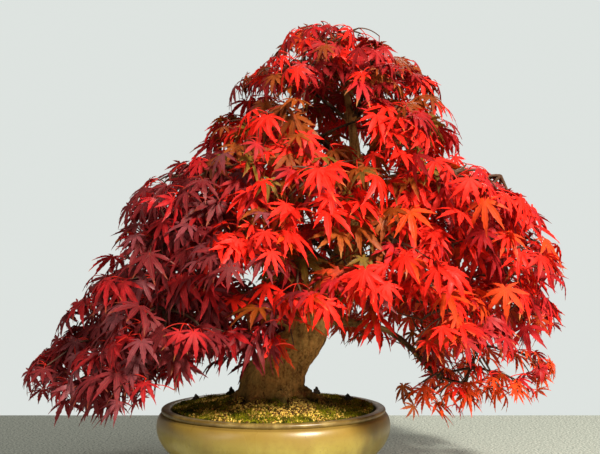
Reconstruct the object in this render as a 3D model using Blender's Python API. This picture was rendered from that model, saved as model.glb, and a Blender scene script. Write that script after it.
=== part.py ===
"""A Japanese maple bonsai in autumn leaf, planted in a round, shallow glazed pot.

Units are metres and +Z is up. The pot and its soil are turned round the pot's axis, which
stands on the floor at z = 0. The maple is one piece of wood grown from limb curves that start
at the soil's highest point, and each foliage pad is the outer shape of one layer of leaves.
"""

import math
from collections import namedtuple

import bmesh
import bpy
from mathutils import Matrix, Vector

# ---------------------------------------------------------------- driving dimensions

GAP = 0.0003  # left between pieces that touch

# pot
BELLY_RADIUS = 0.1500
POT_HEIGHT = 0.0820
SHOULDER_INSET = 0.0060  # from the belly in to the lip
LIP_WIDTH = 0.0125
LIP_THICKNESS = 0.0060
GROOVE_DEPTH = 0.0025
BELLY_BELOW_RIM = 0.0230
WALL = 0.0090
FLOOR = 0.0100
BOWL_INSET = 0.0700  # from the belly in to where the bowl's curve would reach its lowest level
FOOT_INSET = 0.0550
FOOT_WIDTH = 0.0110
FOOT_HEIGHT = 0.0085
FOOT_NOTCHES = 3
NOTCH_WIDTH = 0.0220
NOTCH_HEIGHT = 0.0050
NOTCH_START = 30  # bearing of the first notch
POT_STEPS = 32

# drainage and anchoring
DRAIN_RADIUS = 0.0120
DRAIN_INSET = 0.0350  # from where the floor begins to rise in to a drain hole's middle
SCREEN_LAP = 0.0050  # of a screen over the floor beside its hole
SCREEN_THICKNESS = 0.0012
SCREEN_HOLES = 3
CLIP_RADIUS = 0.0008
CLIP_RISE = 0.0010  # clear height of the clip's bar above the screen
CLIP_FOOT = 0.0085
ANCHOR_RADIUS = 0.0010
ANCHOR_HOLE_RADIUS = 0.0022
ANCHOR_INSET = 0.0350  # from the foot's outside in to where the wire comes up
ANCHOR_BACK = 0.0250
ANCHOR_CLEARANCE = 0.0006
ANCHOR_DROP = 0.0060  # of the wire's ends under the root base
ANCHOR_END = 0.0130  # height of the wire's leaning ends
ANCHOR_LEAN = 0.0080

# soil and what lies on it
SOIL_BELOW_RIM = 0.0060
MOUND_HEIGHT = 0.0240
MOSS_THICKNESS = 0.0040
GRIT_THICKNESS = 0.0030
GRIT_START = 0.0160  # radius under the trunk where the grit begins
MOSS_WIDTH = 0.0355  # mean width of the ring of moss inside the pot's lip
GRIT_WAVE = 0.0100
SOIL_RINGS = (0.2, 0.4, 0.55, 0.7, 0.85, 0.97)  # shares of the mouth's radius
CAKE_RADIUS = 0.0068
CAKE_HEIGHT = 0.0095
CAKE_PLACES = (  # bearing, and distance in from the pot's lip
    (157, 0.0186),
    (136, 0.0509),
    (44, 0.0537),
    (22, 0.0266),
)

# maple: the sizes below are drawn for a tree of DRAWN_HEIGHT and grow with TREE_HEIGHT
TREE_HEIGHT = 0.4723  # from the soil's highest point to the highest leaf
DRAWN_HEIGHT = 0.4723
GROWTH = TREE_HEIGHT / DRAWN_HEIGHT


def grown(*rows):
    return [tuple(value * GROWTH for value in row) for row in rows]


# each limb is a row of (x, y, height above the soil, radius)
TRUNK = grown(
    (0.000, 0.000, -0.036, 0.0400),
    (-0.003, 0.000, -0.004, 0.0440),
    (0.002, 0.000, 0.018, 0.0400),
    (0.014, 0.002, 0.042, 0.0350),
    (0.036, 0.002, 0.062, 0.0275),
    (0.050, 0.000, 0.084, 0.0235),
    (0.058, -0.004, 0.112, 0.0205),
    (0.079, -0.002, 0.148, 0.0180),
    (0.096, 0.004, 0.190, 0.0155),
    (0.101, 0.006, 0.240, 0.0130),
    (0.105, 0.002, 0.290, 0.0105),
    (0.103, 0.000, 0.330, 0.0080),
    (0.094, 0.002, 0.385, 0.0060),
    (0.076, 0.000, 0.456, 0.0030),
)
LOW_RIGHT_LIMB = grown(
    (0.054, -0.004, 0.096, 0.0110),
    (0.106, -0.018, 0.090, 0.0072),
    (0.146, -0.030, 0.082, 0.0060),
    (0.180, -0.040, 0.054, 0.0052),
    (0.206, -0.048, 0.026, 0.0044),
    (0.240, -0.052, 0.018, 0.0034),
)
LOW_LEFT_LIMB = grown(
    (0.048, 0.000, 0.082, 0.0130),
    (-0.010, 0.006, 0.100, 0.0100),
    (-0.078, 0.010, 0.104, 0.0078),
    (-0.140, 0.000, 0.080, 0.0062),
    (-0.205, -0.010, 0.052, 0.0044),
)
ROOTS = (  # bearing of each surface root, distance from its tip out to the pot's lip, and radius
    (-8, 0.0655, 0.0150),
    (52, 0.0715, 0.0120),
    (101, 0.0755, 0.0110),
    (187, 0.0695, 0.0140),
    (232, 0.0715, 0.0120),
    (286, 0.0775, 0.0130),
    (326, 0.0735, 0.0110),
)
ROOT_COURSE = (  # shares of a root's length and radius, and its height over the soil there
    (0.25, 1.0, 0.0049),
    (0.62, 0.8, 0.0013),
    (1.00, 0.5, -0.0016),
    (1.12, 0.28, -0.0085),
)
BRANCH_TIP_RADIUS = 0.0018
SINGLE_BRANCH_RADIUS = 0.0040
BRANCH_ARCH = 0.10  # rise of a branch's middle, as a share of its span
FORK_STEP = 2  # the branch's step where its neighbour forks off
FORK_SHARE = 0.9  # the neighbour's radius there, as a share of the branch's
BURIED_BELOW = 0.0500  # the trunk under this height is cut out of the soil
PATH_STEPS = 2  # curve steps between two of a limb's points
TRUNK_SIDES = 10
BRANCH_SIDES = 6
BRANCH_STEPS = 4

# foliage
PAD_THICKNESS = 0.0130
PAD_EDGE = 0.0022
PAD_CROWN = 0.0190
PAD_LEAVES = 5
PAD_SPACING_SHARE = 0.44  # a pad's half width, as a share of the way to its neighbour
LOBES = (0.70, 0.97, 0.82, 1.10, 0.82, 0.97)  # notch and lobe radii round one leaf
LOBE_REACH = max(LOBES)
HEART_SHARE = 0.45  # radius of the ring of points on the pad's top
CROWN_INSET_SHARE = 0.9  # how far the crown stays inside the top tier's tips, in pad lengths

Tier = namedtuple(
    "Tier", "name bearings slope tips centre left right front back length root radius"
)


def tier(name, bearings, slope, *sizes):
    return Tier(name, bearings, slope, *grown(sizes)[0])


SIX = {
    "right": 2,
    "back_right": 58,
    "back_left": 122,
    "left": 178,
    "front_left": 234,
    "front_right": 306,
}
SEVEN = {
    "right": 0,
    "back_right": 42,
    "back": 90,
    "back_left": 138,
    "left": 180,
    "front_left": 228,
    "front_right": 312,
}
EIGHT = {
    "right": 0,
    "back_right": 42,
    "back": 90,
    "back_left": 138,
    "left": 180,
    "front_left": 222,
    "front": 268,
    "front_right": 316,
}
FIVE = {"right": 14, "back": 90, "left": 166, "front_left": 235, "front_right": 305}
NINE = {
    "right": 0,
    "back_right": 38,
    "back": 90,
    "back_left": 142,
    "left": 180,
    "left_front": 214,
    "front_left": 244,
    "front_right": 292,
    "right_front": 330,
}

# tips: height of the leaf tips above the soil; centre: x of the tier's middle; left, right, front
# and back: reach of the tips from it; slope: fall of a pad in degrees; length: half a pad's
# length; root and radius: where its branches leave the trunk, and how thick they are there
TIERS = (
    tier("top", FIVE, 27, 0.386, 0.084, 0.122, 0.124, 0.124, 0.118, 0.047, 0.345, 0.0046),
    tier("upper", SIX, 28, 0.314, 0.078, 0.168, 0.170, 0.172, 0.162, 0.062, 0.288, 0.0056),
    tier("middle", EIGHT, 28, 0.236, 0.062, 0.250, 0.302, 0.212, 0.200, 0.075, 0.222, 0.0068),
    tier("lower", NINE, 30, 0.152, 0.058, 0.300, 0.326, 0.240, 0.226, 0.080, 0.158, 0.0078),
    tier("skirt", SEVEN, 32, 0.066, 0.044, 0.338, 0.340, 0.232, 0.222, 0.080, 0.116, 0.0082),
)

# pads placed one by one on a limb: the place of their tips, the point that they fall away from,
# their slope and half length as drawn, and the limb
SINGLES = {
    "foliage_front": ((0.052, -0.205, 0.104), (0.060, 0.000), 34, 0.066, "trunk"),
    "foliage_low_left": ((-0.336, -0.030, 0.000), (0.0, 0.0), 34, 0.066, "left"),
    "foliage_low_left_front": ((-0.268, -0.142, -0.032), (-0.06, 0.02), 36, 0.062, "left"),
    "foliage_low_front_left": ((-0.160, -0.196, 0.008), (-0.12, 0.0), 36, 0.066, "left"),
    "foliage_low_back_left": ((-0.236, 0.168, -0.006), (-0.06, 0.02), 34, 0.066, "left"),
    "foliage_low_right": ((0.372, -0.046, -0.004), (0.1, -0.03), 32, 0.060, "right"),
    "foliage_low_right_front": ((0.318, -0.142, -0.028), (0.18, 0.0), 34, 0.056, "right"),
    "foliage_low_front_right": ((0.206, -0.172, -0.034), (0.21, 0.0), 34, 0.056, "right"),
    "foliage_low_back_right": ((0.262, 0.150, -0.010), (0.17, 0.0), 34, 0.060, "right"),
}

# ---------------------------------------------------------------- places that follow from them

RIM_RADIUS = BELLY_RADIUS - SHOULDER_INSET
BASE_RADIUS = BELLY_RADIUS - BOWL_INSET
FOOT_RADIUS = BELLY_RADIUS - FOOT_INSET
DRAIN_OFFSET = BASE_RADIUS - DRAIN_INSET
ANCHOR_OFFSET = FOOT_RADIUS - ANCHOR_INSET
SCREEN_SIDE = 2 * (DRAIN_RADIUS + SCREEN_LAP)
FLOOR_TOP = FOOT_HEIGHT + FLOOR
BELLY_LEVEL = POT_HEIGHT - BELLY_BELOW_RIM
GROOVE_LEVEL = POT_HEIGHT - LIP_THICKNESS
MOUTH_RADIUS = RIM_RADIUS - LIP_WIDTH
SOIL_EDGE_LEVEL = POT_HEIGHT - SOIL_BELOW_RIM
SOIL_TOP = SOIL_EDGE_LEVEL + MOUND_HEIGHT
LEFT_TIP = SINGLES["foliage_low_left"][0][0] * GROWTH
LEFT_REACH = max(-LEFT_TIP, *(row.left - row.centre for row in TIERS))
RIGHT_REACH = max(row.right + row.centre for row in TIERS)
POT_X = (LEFT_REACH - RIGHT_REACH) / 2  # puts the origin under the middle of the whole outline
UP = Vector((0, 0, 1))
SIDES = ((-1, "left"), (1, "right"))


def soil_level(radius):
    """Height of the mounded soil at this distance from the pot's axis."""
    share = min(radius / (MOUTH_RADIUS - GAP), 1)
    return SOIL_EDGE_LEVEL + MOUND_HEIGHT * (1 + math.cos(math.pi * share)) / 2


def bearing_vector(bearing):
    turn = math.radians(bearing)
    return Vector((math.cos(turn), math.sin(turn), 0))


# ---------------------------------------------------------------- scene helpers


def clear_scene():
    for obj in list(bpy.data.objects):
        bpy.data.objects.remove(obj, do_unlink=True)


def material(name, colour, roughness, metallic=0.0):
    made = bpy.data.materials.new(name)
    made.use_nodes = True
    shader = made.node_tree.nodes["Principled BSDF"]
    shader.inputs["Base Color"].default_value = (*colour, 1)
    shader.inputs["Roughness"].default_value = roughness
    shader.inputs["Metallic"].default_value = metallic
    made.diffuse_color = (*colour, 1)
    return made


def add_object(name, bm, finish, smooth=True):
    """Makes an object of a bmesh, with its faces pointing out, standing on the pot's axis."""
    bmesh.ops.recalc_face_normals(bm, faces=bm.faces)
    mesh = bpy.data.meshes.new(name)
    bm.to_mesh(mesh)
    bm.free()
    mesh.materials.append(finish)
    if smooth:
        mesh.shade_smooth()
        mesh.set_sharp_from_angle(angle=math.radians(40))
    obj = bpy.data.objects.new(name, mesh)
    bpy.context.scene.collection.objects.link(obj)
    obj.parent = AXIS
    return obj


def helper_group(name):
    group = bpy.data.collections.new(name)
    bpy.context.scene.collection.children.link(group)
    return group


def as_helper(obj, group):
    """Keeps an object out of the model: it only cuts, or joins, other objects."""
    obj.hide_render = True
    obj.display_type = "WIRE"
    bpy.context.scene.collection.objects.unlink(obj)
    group.objects.link(obj)


def boolean(obj, group, operation):
    made = obj.modifiers.new(group.name, "BOOLEAN")
    made.operation = operation
    made.solver = "EXACT"
    made.operand_type = "COLLECTION"
    made.collection = group


# ---------------------------------------------------------------- shape helpers


def turned(profile, steps=POT_STEPS):
    """Spins a profile of (radius, height) points whose two ends lie on the axis."""
    bm = bmesh.new()
    points = [bm.verts.new((radius, 0, height)) for radius, height in profile]
    edges = [bm.edges.new(pair) for pair in zip(points, points[1:])]
    bmesh.ops.spin(
        bm,
        geom=points + edges,
        cent=(0, 0, 0),
        axis=(0, 0, 1),
        angle=2 * math.pi,
        steps=steps,
        use_merge=True,
    )
    bmesh.ops.remove_doubles(bm, verts=bm.verts, dist=1e-6)
    return bm


def ring_of_points(centre, across, along, radius, sides):
    turn = 2 * math.pi / sides
    return [
        centre + radius * (math.cos(k * turn) * across + math.sin(k * turn) * along)
        for k in range(sides)
    ]


def tube(path, radii, sides):
    """A closed skin round a path of points, with a radius at each of them."""
    bm = bmesh.new()
    across = (path[1] - path[0]).orthogonal().normalized()
    rings = []
    for i, (point, radius) in enumerate(zip(path, radii)):
        ahead = (path[min(i + 1, len(path) - 1)] - path[max(i - 1, 0)]).normalized()
        across = (across - across.project(ahead)).normalized()
        places = ring_of_points(point, across, ahead.cross(across), radius, sides)
        rings.append([bm.verts.new(place) for place in places])
    for lower, upper in zip(rings, rings[1:]):
        for k in range(sides):
            after = (k + 1) % sides
            bm.faces.new((lower[k], lower[after], upper[after], upper[k]))
    bm.faces.new(rings[0])
    bm.faces.new(rings[-1])
    return bm


def smooth_row(row, steps):
    """Points on a smooth curve through a row of points of any number of values."""
    row = [Vector(point) for point in row]
    row = [2 * row[0] - row[1], *row, 2 * row[-1] - row[-2]]
    made = []
    for a, b, c, d in zip(row, row[1:], row[2:], row[3:]):
        for step in range(steps):
            t = step / steps
            made.append(
                0.5 * (2 * b + (c - a) * t + (2 * a - 5 * b + 4 * c - d) * t**2)
                + 0.5 * (3 * b - a - 3 * c + d) * t**3
            )
    made.append(row[-2])
    return made


def limb_mesh(limb, sides, grow=0.0):
    """The skin of a limb given as (x, y, height above the soil, radius), grown by a margin."""
    path = [Vector((x, y, z + SOIL_TOP)) for x, y, z, _ in limb]
    return tube(path, [point[3] + grow for point in limb], sides)


def ellipse_arc(centre, size, start, end, steps):
    """(radius, height) points on part of an ellipse, between two angles in degrees."""
    angles = [math.radians(start + (end - start) * k / steps) for k in range(steps + 1)]
    return [
        (centre[0] + size[0] * math.cos(angle), centre[1] + size[1] * math.sin(angle))
        for angle in angles
    ]


# ---------------------------------------------------------------- pot


def bowl_curve(inset, lowest, start, steps):
    """The bowl's side from near its base up to the belly, moved in by a wall's thickness."""
    size = (BELLY_RADIUS - BASE_RADIUS, BELLY_LEVEL - FOOT_HEIGHT)
    inner = (size[0] - inset, BELLY_LEVEL - lowest)
    return ellipse_arc((BASE_RADIUS, BELLY_LEVEL), inner, start, 0, steps)


def shoulder_curve(steps):
    """From the belly up to the groove under the lip."""
    groove_radius = RIM_RADIUS - GROOVE_DEPTH
    size = (BELLY_RADIUS - groove_radius, GROOVE_LEVEL - BELLY_LEVEL)
    return ellipse_arc((groove_radius, BELLY_LEVEL), size, 0, 78, steps)[1:]


def lip_curve():
    """A rounded lip with a flat, slightly sunk top."""
    half = LIP_THICKNESS / 2
    outer = (RIM_RADIUS - half, POT_HEIGHT - half)
    inner = (MOUTH_RADIUS + half, POT_HEIGHT - half)
    return [
        (RIM_RADIUS - GROOVE_DEPTH, GROOVE_LEVEL),
        *ellipse_arc(outer, (half, half), -80, 90, 5),
        *ellipse_arc(inner, (half, half), 100, 180, 3),
    ]


def inner_wall(margin=0.0):
    """From the lip's inner edge down the inside of the bowl to the floor's centre."""
    side = bowl_curve(WALL + margin, FLOOR_TOP + margin, -90, 6)
    top = (MOUTH_RADIUS - margin, GROOVE_LEVEL - LIP_THICKNESS)
    return [top, *reversed(side), (0, FLOOR_TOP + margin)]


def pot_profile():
    foot_inner = FOOT_RADIUS - FOOT_WIDTH
    foot = [(0, FOOT_HEIGHT), (foot_inner, FOOT_HEIGHT), (foot_inner, 0), (FOOT_RADIUS, 0)]
    side = [
        point for point in bowl_curve(0, FOOT_HEIGHT, -80, 9) if point[0] > FOOT_RADIUS
    ]
    return [*foot, *side, *shoulder_curve(4), *lip_curve(), *inner_wall()]


def upright_cutter(name, x, y, radius, group):
    bm = bmesh.new()
    bmesh.ops.create_cone(
        bm,
        cap_ends=True,
        segments=16,
        radius1=radius,
        radius2=radius,
        depth=4 * FLOOR,
        matrix=Matrix.Translation((x, y, FLOOR_TOP)),
    )
    as_helper(add_object(name, bm, CUTTER, smooth=False), group)


def notch_cutter(name, bearing, group):
    bm = bmesh.new()
    size = Matrix.Diagonal((3 * FOOT_WIDTH, NOTCH_WIDTH, 2 * NOTCH_HEIGHT, 1))
    away = Matrix.Translation((FOOT_RADIUS - FOOT_WIDTH / 2, 0, 0))
    turn = Matrix.Rotation(math.radians(bearing), 4, "Z")
    bmesh.ops.create_cube(bm, size=1, matrix=turn @ away @ size)
    as_helper(add_object(name, bm, CUTTER, smooth=False), group)


def build_pot():
    pot = add_object("pot", turned(pot_profile()), GLAZE)
    cuts = helper_group("pot_cuts")
    for side, word in SIDES:
        upright_cutter(f"cut_drain_{word}", side * DRAIN_OFFSET, 0, DRAIN_RADIUS, cuts)
        place = (side * ANCHOR_OFFSET, ANCHOR_BACK)
        upright_cutter(f"cut_anchor_{word}", *place, ANCHOR_HOLE_RADIUS, cuts)
    for number in range(FOOT_NOTCHES):
        notch_cutter(f"cut_notch_{number}", NOTCH_START + 360 * number / FOOT_NOTCHES, cuts)
    boolean(pot, cuts, "DIFFERENCE")


# ---------------------------------------------------------------- drainage and anchoring


def perforated_plate(side, thickness, holes):
    """A square plate with a grid of square holes, as wide as the bars between them."""
    cells = 2 * holes + 1
    bm = bmesh.new()
    bmesh.ops.create_grid(bm, x_segments=cells, y_segments=cells, size=side / 2)
    cell = side / cells
    gone = [face for face in bm.faces if is_hole(face.calc_center_median(), side, cell)]
    bmesh.ops.delete(bm, geom=gone, context="FACES")
    made = bmesh.ops.extrude_face_region(bm, geom=list(bm.faces))
    raised = [item for item in made["geom"] if isinstance(item, bmesh.types.BMVert)]
    bmesh.ops.translate(bm, verts=raised, vec=(0, 0, thickness))
    return bm


def is_hole(centre, side, cell):
    column = int((centre.x + side / 2) / cell)
    row = int((centre.y + side / 2) / cell)
    return column % 2 == 1 and row % 2 == 1


def clip_path():
    """A staple over the screen, with its feet turned out under the pot's floor."""
    leg = SCREEN_SIDE / (2 * SCREEN_HOLES + 1) * 2
    low = FOOT_HEIGHT - CLIP_RADIUS - 2 * GAP
    high = FLOOR_TOP + SCREEN_THICKNESS + CLIP_RISE + CLIP_RADIUS
    half = [(leg + CLIP_FOOT, 0, low), (leg, 0, low), (leg, 0, high)]
    return [Vector(point) for point in [*half, *((-x, y, z) for x, y, z in reversed(half))]]


def build_drainage():
    for side, word in SIDES:
        place = Vector((side * DRAIN_OFFSET, 0, FLOOR_TOP + GAP))
        plate = perforated_plate(SCREEN_SIDE, SCREEN_THICKNESS, SCREEN_HOLES)
        add_object(f"drain_screen_{word}", plate, MESH_PLASTIC, smooth=False).location = place
        path = [point + Vector((place.x, 0, 0)) for point in clip_path()]
        clip = tube(path, [CLIP_RADIUS] * len(path), 6)
        add_object(f"screen_clip_{word}", clip, WIRE)


def anchor_path():
    """Under the pot, up through its floor on both sides, and in under the root base."""
    top = SOIL_TOP + TRUNK[0][2] - ANCHOR_DROP
    half = [
        (ANCHOR_OFFSET, FOOT_HEIGHT / 2),
        (ANCHOR_OFFSET, top - ANCHOR_END),
        (ANCHOR_OFFSET - ANCHOR_LEAN, top),
    ]
    row = [*((-x, z) for x, z in reversed(half)), *half]
    return [Vector((x, ANCHOR_BACK, z)) for x, z in row]


def build_anchor_wire():
    path = anchor_path()
    add_object("anchor_wire", tube(path, [ANCHOR_RADIUS] * len(path), 8), WIRE)


# ---------------------------------------------------------------- soil and what lies on it


def box_cutter(name, x, size, group):
    bm = bmesh.new()
    place = Matrix.Translation((x, 0, FLOOR_TOP))
    bmesh.ops.create_cube(bm, size=1, matrix=place @ Matrix.Diagonal((*size, 1)))
    as_helper(add_object(name, bm, CUTTER, smooth=False), group)


def build_soil():
    radii = [MOUTH_RADIUS * share for share in SOIL_RINGS]
    surface = [(radius, soil_level(radius)) for radius in radii]
    rim = (MOUTH_RADIUS - GAP, SOIL_EDGE_LEVEL)
    profile = [(0, SOIL_TOP), *surface, rim, *inner_wall(GAP)]
    soil = add_object("soil", turned(profile), SOIL)
    cuts = helper_group("soil_cuts")
    room = 4 * GAP
    deep = 2 * (SCREEN_THICKNESS + CLIP_RISE + 2 * CLIP_RADIUS + room)
    for side, word in SIDES:
        size = (SCREEN_SIDE + room, SCREEN_SIDE + room, deep)
        box_cutter(f"cut_screen_{word}", side * DRAIN_OFFSET, size, cuts)
    path = anchor_path()
    path[0] += (path[0] - path[1]).normalized() * ANCHOR_CLEARANCE
    path[-1] += (path[-1] - path[-2]).normalized() * ANCHOR_CLEARANCE
    channel = tube(path, [ANCHOR_RADIUS + ANCHOR_CLEARANCE] * len(path), 8)
    as_helper(add_object("cut_anchor_channel", channel, CUTTER, smooth=False), cuts)
    boolean(soil, cuts, "DIFFERENCE")
    boolean(soil, ROOT_CUTS, "DIFFERENCE")


def grit_edge(bearing):
    """The wavy line where the grit ends and the moss begins."""
    wave = 0.6 * math.sin(3 * bearing + 0.6) + 0.4 * math.sin(5 * bearing + 2.1)
    return MOUTH_RADIUS - MOSS_WIDTH + GRIT_WAVE * wave


def layer(inner, outer, rings, thickness):
    """A blanket on the soil between two lines, each a radius for a bearing."""
    bm = bmesh.new()
    circles = []
    for ring in range(rings + 1):
        for lift in (GAP, GAP + thickness):
            circle = []
            for step in range(POT_STEPS):
                bearing = 2 * math.pi * step / POT_STEPS
                radius = inner(bearing) + (outer(bearing) - inner(bearing)) * ring / rings
                place = (radius * math.cos(bearing), radius * math.sin(bearing))
                circle.append(bm.verts.new((*place, soil_level(radius) + lift)))
            circles.append(circle)
    low, high = circles[0::2], circles[1::2]
    for loops in (*zip(low, low[1:]), *zip(high, high[1:])):
        join_loops(bm, *loops)
    join_loops(bm, low[0], high[0])
    join_loops(bm, low[-1], high[-1])
    return bm


def join_loops(bm, one, other):
    for k in range(len(one)):
        after = (k + 1) % len(one)
        bm.faces.new((one[k], one[after], other[after], other[k]))


def build_top_dressing():
    grit = layer(lambda _: GRIT_START, grit_edge, 4, GRIT_THICKNESS)
    grit = add_object("grit_top_dressing", grit, GRIT)
    boolean(grit, ROOT_CUTS, "DIFFERENCE")
    moss_outer = MOUTH_RADIUS - 4 * GAP
    moss = layer(lambda b: grit_edge(b) + GAP, lambda _: moss_outer, 2, MOSS_THICKNESS)
    moss = add_object("moss_carpet", moss, MOSS)
    boolean(moss, ROOT_CUTS, "DIFFERENCE")


def build_fertiliser():
    for number, (bearing, inset) in enumerate(CAKE_PLACES, 1):
        radius = MOUTH_RADIUS - inset
        place = bearing_vector(bearing) * radius
        base = soil_level(radius - CAKE_RADIUS) + MOSS_THICKNESS + 2 * GAP
        bm = bmesh.new()
        bmesh.ops.create_cone(
            bm,
            cap_ends=True,
            segments=5,
            radius1=CAKE_RADIUS,
            radius2=CAKE_RADIUS / 6,
            depth=CAKE_HEIGHT,
            matrix=Matrix.Translation(place + UP * (base + CAKE_HEIGHT / 2)),
        )
        add_object(f"fertiliser_cake_{number}", bm, CAKE, smooth=False)


# ---------------------------------------------------------------- foliage


def tier_tip(ring, bearing):
    """Where the leaf tips of a pad reach to, on the outline of its tier."""
    way = bearing_vector(bearing)
    across = way.x * (ring.right if way.x > 0 else ring.left)
    along = way.y * (ring.back if way.y > 0 else ring.front)
    return Vector((ring.centre + across, along, ring.tips + SOIL_TOP))


def pad_centre(tip, inner, slope, length):
    """The pad's middle, and its outward and upward directions, from the place of its tips."""
    level = Vector((tip.x - inner.x, tip.y - inner.y, 0)).normalized()
    fall = math.radians(slope)
    outward = level * math.cos(fall) - UP * math.sin(fall)
    upward = level * math.sin(fall) + UP * math.cos(fall)
    return tip - outward * length * LOBE_REACH, outward, upward


def pad_surface(share, lift):
    """Height of the pad's skin over its own plane, at a share of its radius."""
    top = PAD_CROWN * (1 - share**2)
    thickness = PAD_EDGE + (PAD_THICKNESS - PAD_EDGE) * max(0, 1 - share**2)
    return GROWTH * (top - (0 if lift else thickness))


def pad_mesh(centre, outward, upward, length, width):
    """A low dome of leaves whose edge is cut into pointed lobes."""
    bm = bmesh.new()
    sideways = upward.cross(outward)
    count = PAD_LEAVES * len(LOBES)
    inner_count = count // 3

    def place(turn, share, lift):
        flat = outward * math.cos(turn) * length + sideways * math.sin(turn) * width
        return bm.verts.new(centre + flat * share + upward * pad_surface(share, lift))

    turn = 2 * math.pi / count
    start = 3 * turn  # the middle lobe of the first leaf points outward
    above, below = (
        [place(k * turn - start, LOBES[k % len(LOBES)], lift) for k in range(count)]
        for lift in (True, False)
    )
    heart = [place((3 * k + 1) * turn - start, HEART_SHARE, True) for k in range(inner_count)]
    top = place(0, 0, True)
    for k in range(inner_count):
        after = (k + 1) % inner_count
        bm.faces.new((top, heart[k], heart[after]))
        row = [above[(3 * k + j) % count] for j in range(4)]
        bm.faces.new((heart[k], row[0], row[1]))
        bm.faces.new((heart[k], row[1], row[2]))
        bm.faces.new((heart[k], row[2], heart[after]))
        bm.faces.new((heart[after], row[2], row[3]))
    bottom = place(0, 0, False)
    for k in range(count):
        bm.faces.new((bottom, below[k], below[(k + 1) % count]))
    join_loops(bm, above, below)
    return bm


def foliage_plan():
    """Each pad's name, shape and branch: what the wood and the leaves are both built from."""
    plan = []
    for ring in TIERS:
        row = []
        middle = Vector((ring.centre, 0, 0))
        for word, bearing in sorted(ring.bearings.items(), key=lambda item: item[1]):
            tip = tier_tip(ring, bearing)
            row.append((word, *pad_centre(tip, middle, ring.slope, ring.length)))
        for k, (word, centre, outward, upward) in enumerate(row):
            beside = [row[k - 1][1], row[(k + 1) % len(row)][1]]
            nearest = min((other - centre).length for other in beside)
            width = min(nearest * PAD_SPACING_SHARE, ring.length)
            name = f"foliage_{ring.name}_{word}"
            plan.append((name, centre, outward, upward, ring.length, width, ring))
    return plan


def single_plan():
    plan = []
    for name, (tip, inner, slope, drawn_length, limb) in SINGLES.items():
        length = drawn_length * GROWTH
        tip = Vector(tip) * GROWTH + UP * SOIL_TOP
        inner = Vector((*inner, 0)) * GROWTH
        centre, outward, upward = pad_centre(tip, inner, slope, length)
        plan.append((name, centre, outward, upward, length, length, limb))
    return plan


def hub(centre, upward):
    """Where a branch ends, just under the middle of its pad."""
    return centre + upward * (pad_surface(0, False) - GAP - BRANCH_TIP_RADIUS)


def build_foliage(plan):
    for name, centre, outward, upward, length, width, _ in plan:
        add_object(name, pad_mesh(centre, outward, upward, length, width), LEAF)
    top = TRUNK[-1]
    centre = Vector(top[:3]) + UP * (SOIL_TOP - pad_surface(0, False) + GAP + top[3])
    size = TIERS[0].right - TIERS[0].length * CROWN_INSET_SHARE
    crown = pad_mesh(centre, Vector((1, 0, 0)), UP, size, size)
    add_object("foliage_crown", crown, LEAF)


# ---------------------------------------------------------------- wood


def root_limbs():
    """The surface roots, which run out and down along the mounded soil."""
    limbs = []
    for bearing, inset, radius in ROOTS:
        length = MOUTH_RADIUS - inset
        way = bearing_vector(bearing)
        limb = []
        for reach, share, height in ROOT_COURSE:
            away = way * length * reach
            level = soil_level(away.length) - SOIL_TOP + height * GROWTH
            limb.append((away.x, away.y, level, radius * share * GROWTH))
        limbs.append(limb)
    return limbs


def trunk_at(height):
    """The trunk's middle line at a height above the soil."""
    for low, high in zip(TRUNK, TRUNK[1:]):
        if low[2] <= height <= high[2]:
            share = (height - low[2]) / (high[2] - low[2])
            return Vector(low).lerp(Vector(high), share)
    return Vector(TRUNK[-1])


def branch(start, end, radius):
    """A limb that rises a little in the middle and thins towards its pad."""
    span = (end - start).length
    middle = start.lerp(end, 0.5) + UP * span * BRANCH_ARCH
    rows = []
    for step in range(BRANCH_STEPS + 1):
        t = step / BRANCH_STEPS
        point = start * (1 - t) ** 2 + middle * 2 * t * (1 - t) + end * t**2
        size = radius + (BRANCH_TIP_RADIUS - radius) * t
        rows.append((*(point - UP * SOIL_TOP), size))
    return rows


def nearest_on(limb, place):
    """The point of a limb that lies nearest to a place, as (x, y, height, radius)."""
    local = place - UP * SOIL_TOP
    return min(limb, key=lambda point: (Vector(point[:3]) - local).length)


def branch_limbs(plan):
    limbs = []
    for ring in TIERS:
        pads = [pad for pad in plan if pad[6] is ring]
        start = trunk_at(ring.root)
        base = Vector(start[:3]) + UP * SOIL_TOP
        for number, pad in enumerate(pads):
            end = hub(pad[1], pad[3])
            if number % 2 == 0:
                limbs.append(branch(base, end, ring.radius))
            else:
                fork = limbs[-1][FORK_STEP]
                place = Vector(fork[:3]) + UP * SOIL_TOP
                limbs.append(branch(place, end, fork[3] * FORK_SHARE))
    return limbs


def single_limbs(plan):
    rows = {"trunk": TRUNK, "left": LOW_LEFT_LIMB, "right": LOW_RIGHT_LIMB}
    rows = {name: smooth_row(row, PATH_STEPS) for name, row in rows.items()}
    limbs = [rows["left"], rows["right"]]
    for _, centre, outward, _, length, _, limb in plan:
        end = centre - outward * (length * LOBE_REACH + BRANCH_TIP_RADIUS + GAP)
        near = nearest_on(rows[limb], end)
        radius = min(near[3], SINGLE_BRANCH_RADIUS)
        limbs.append(branch(Vector(near[:3]) + UP * SOIL_TOP, end, radius))
    return limbs


def build_wood(limbs):
    trunk = smooth_row(TRUNK, PATH_STEPS)
    wood = add_object("tree_wood", limb_mesh(trunk, TRUNK_SIDES), BARK)
    joined = helper_group("limbs")
    for number, limb in enumerate(limbs):
        skin = add_object(f"limb_{number}", limb_mesh(limb, BRANCH_SIDES), BARK)
        as_helper(skin, joined)
    boolean(wood, joined, "UNION")


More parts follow.
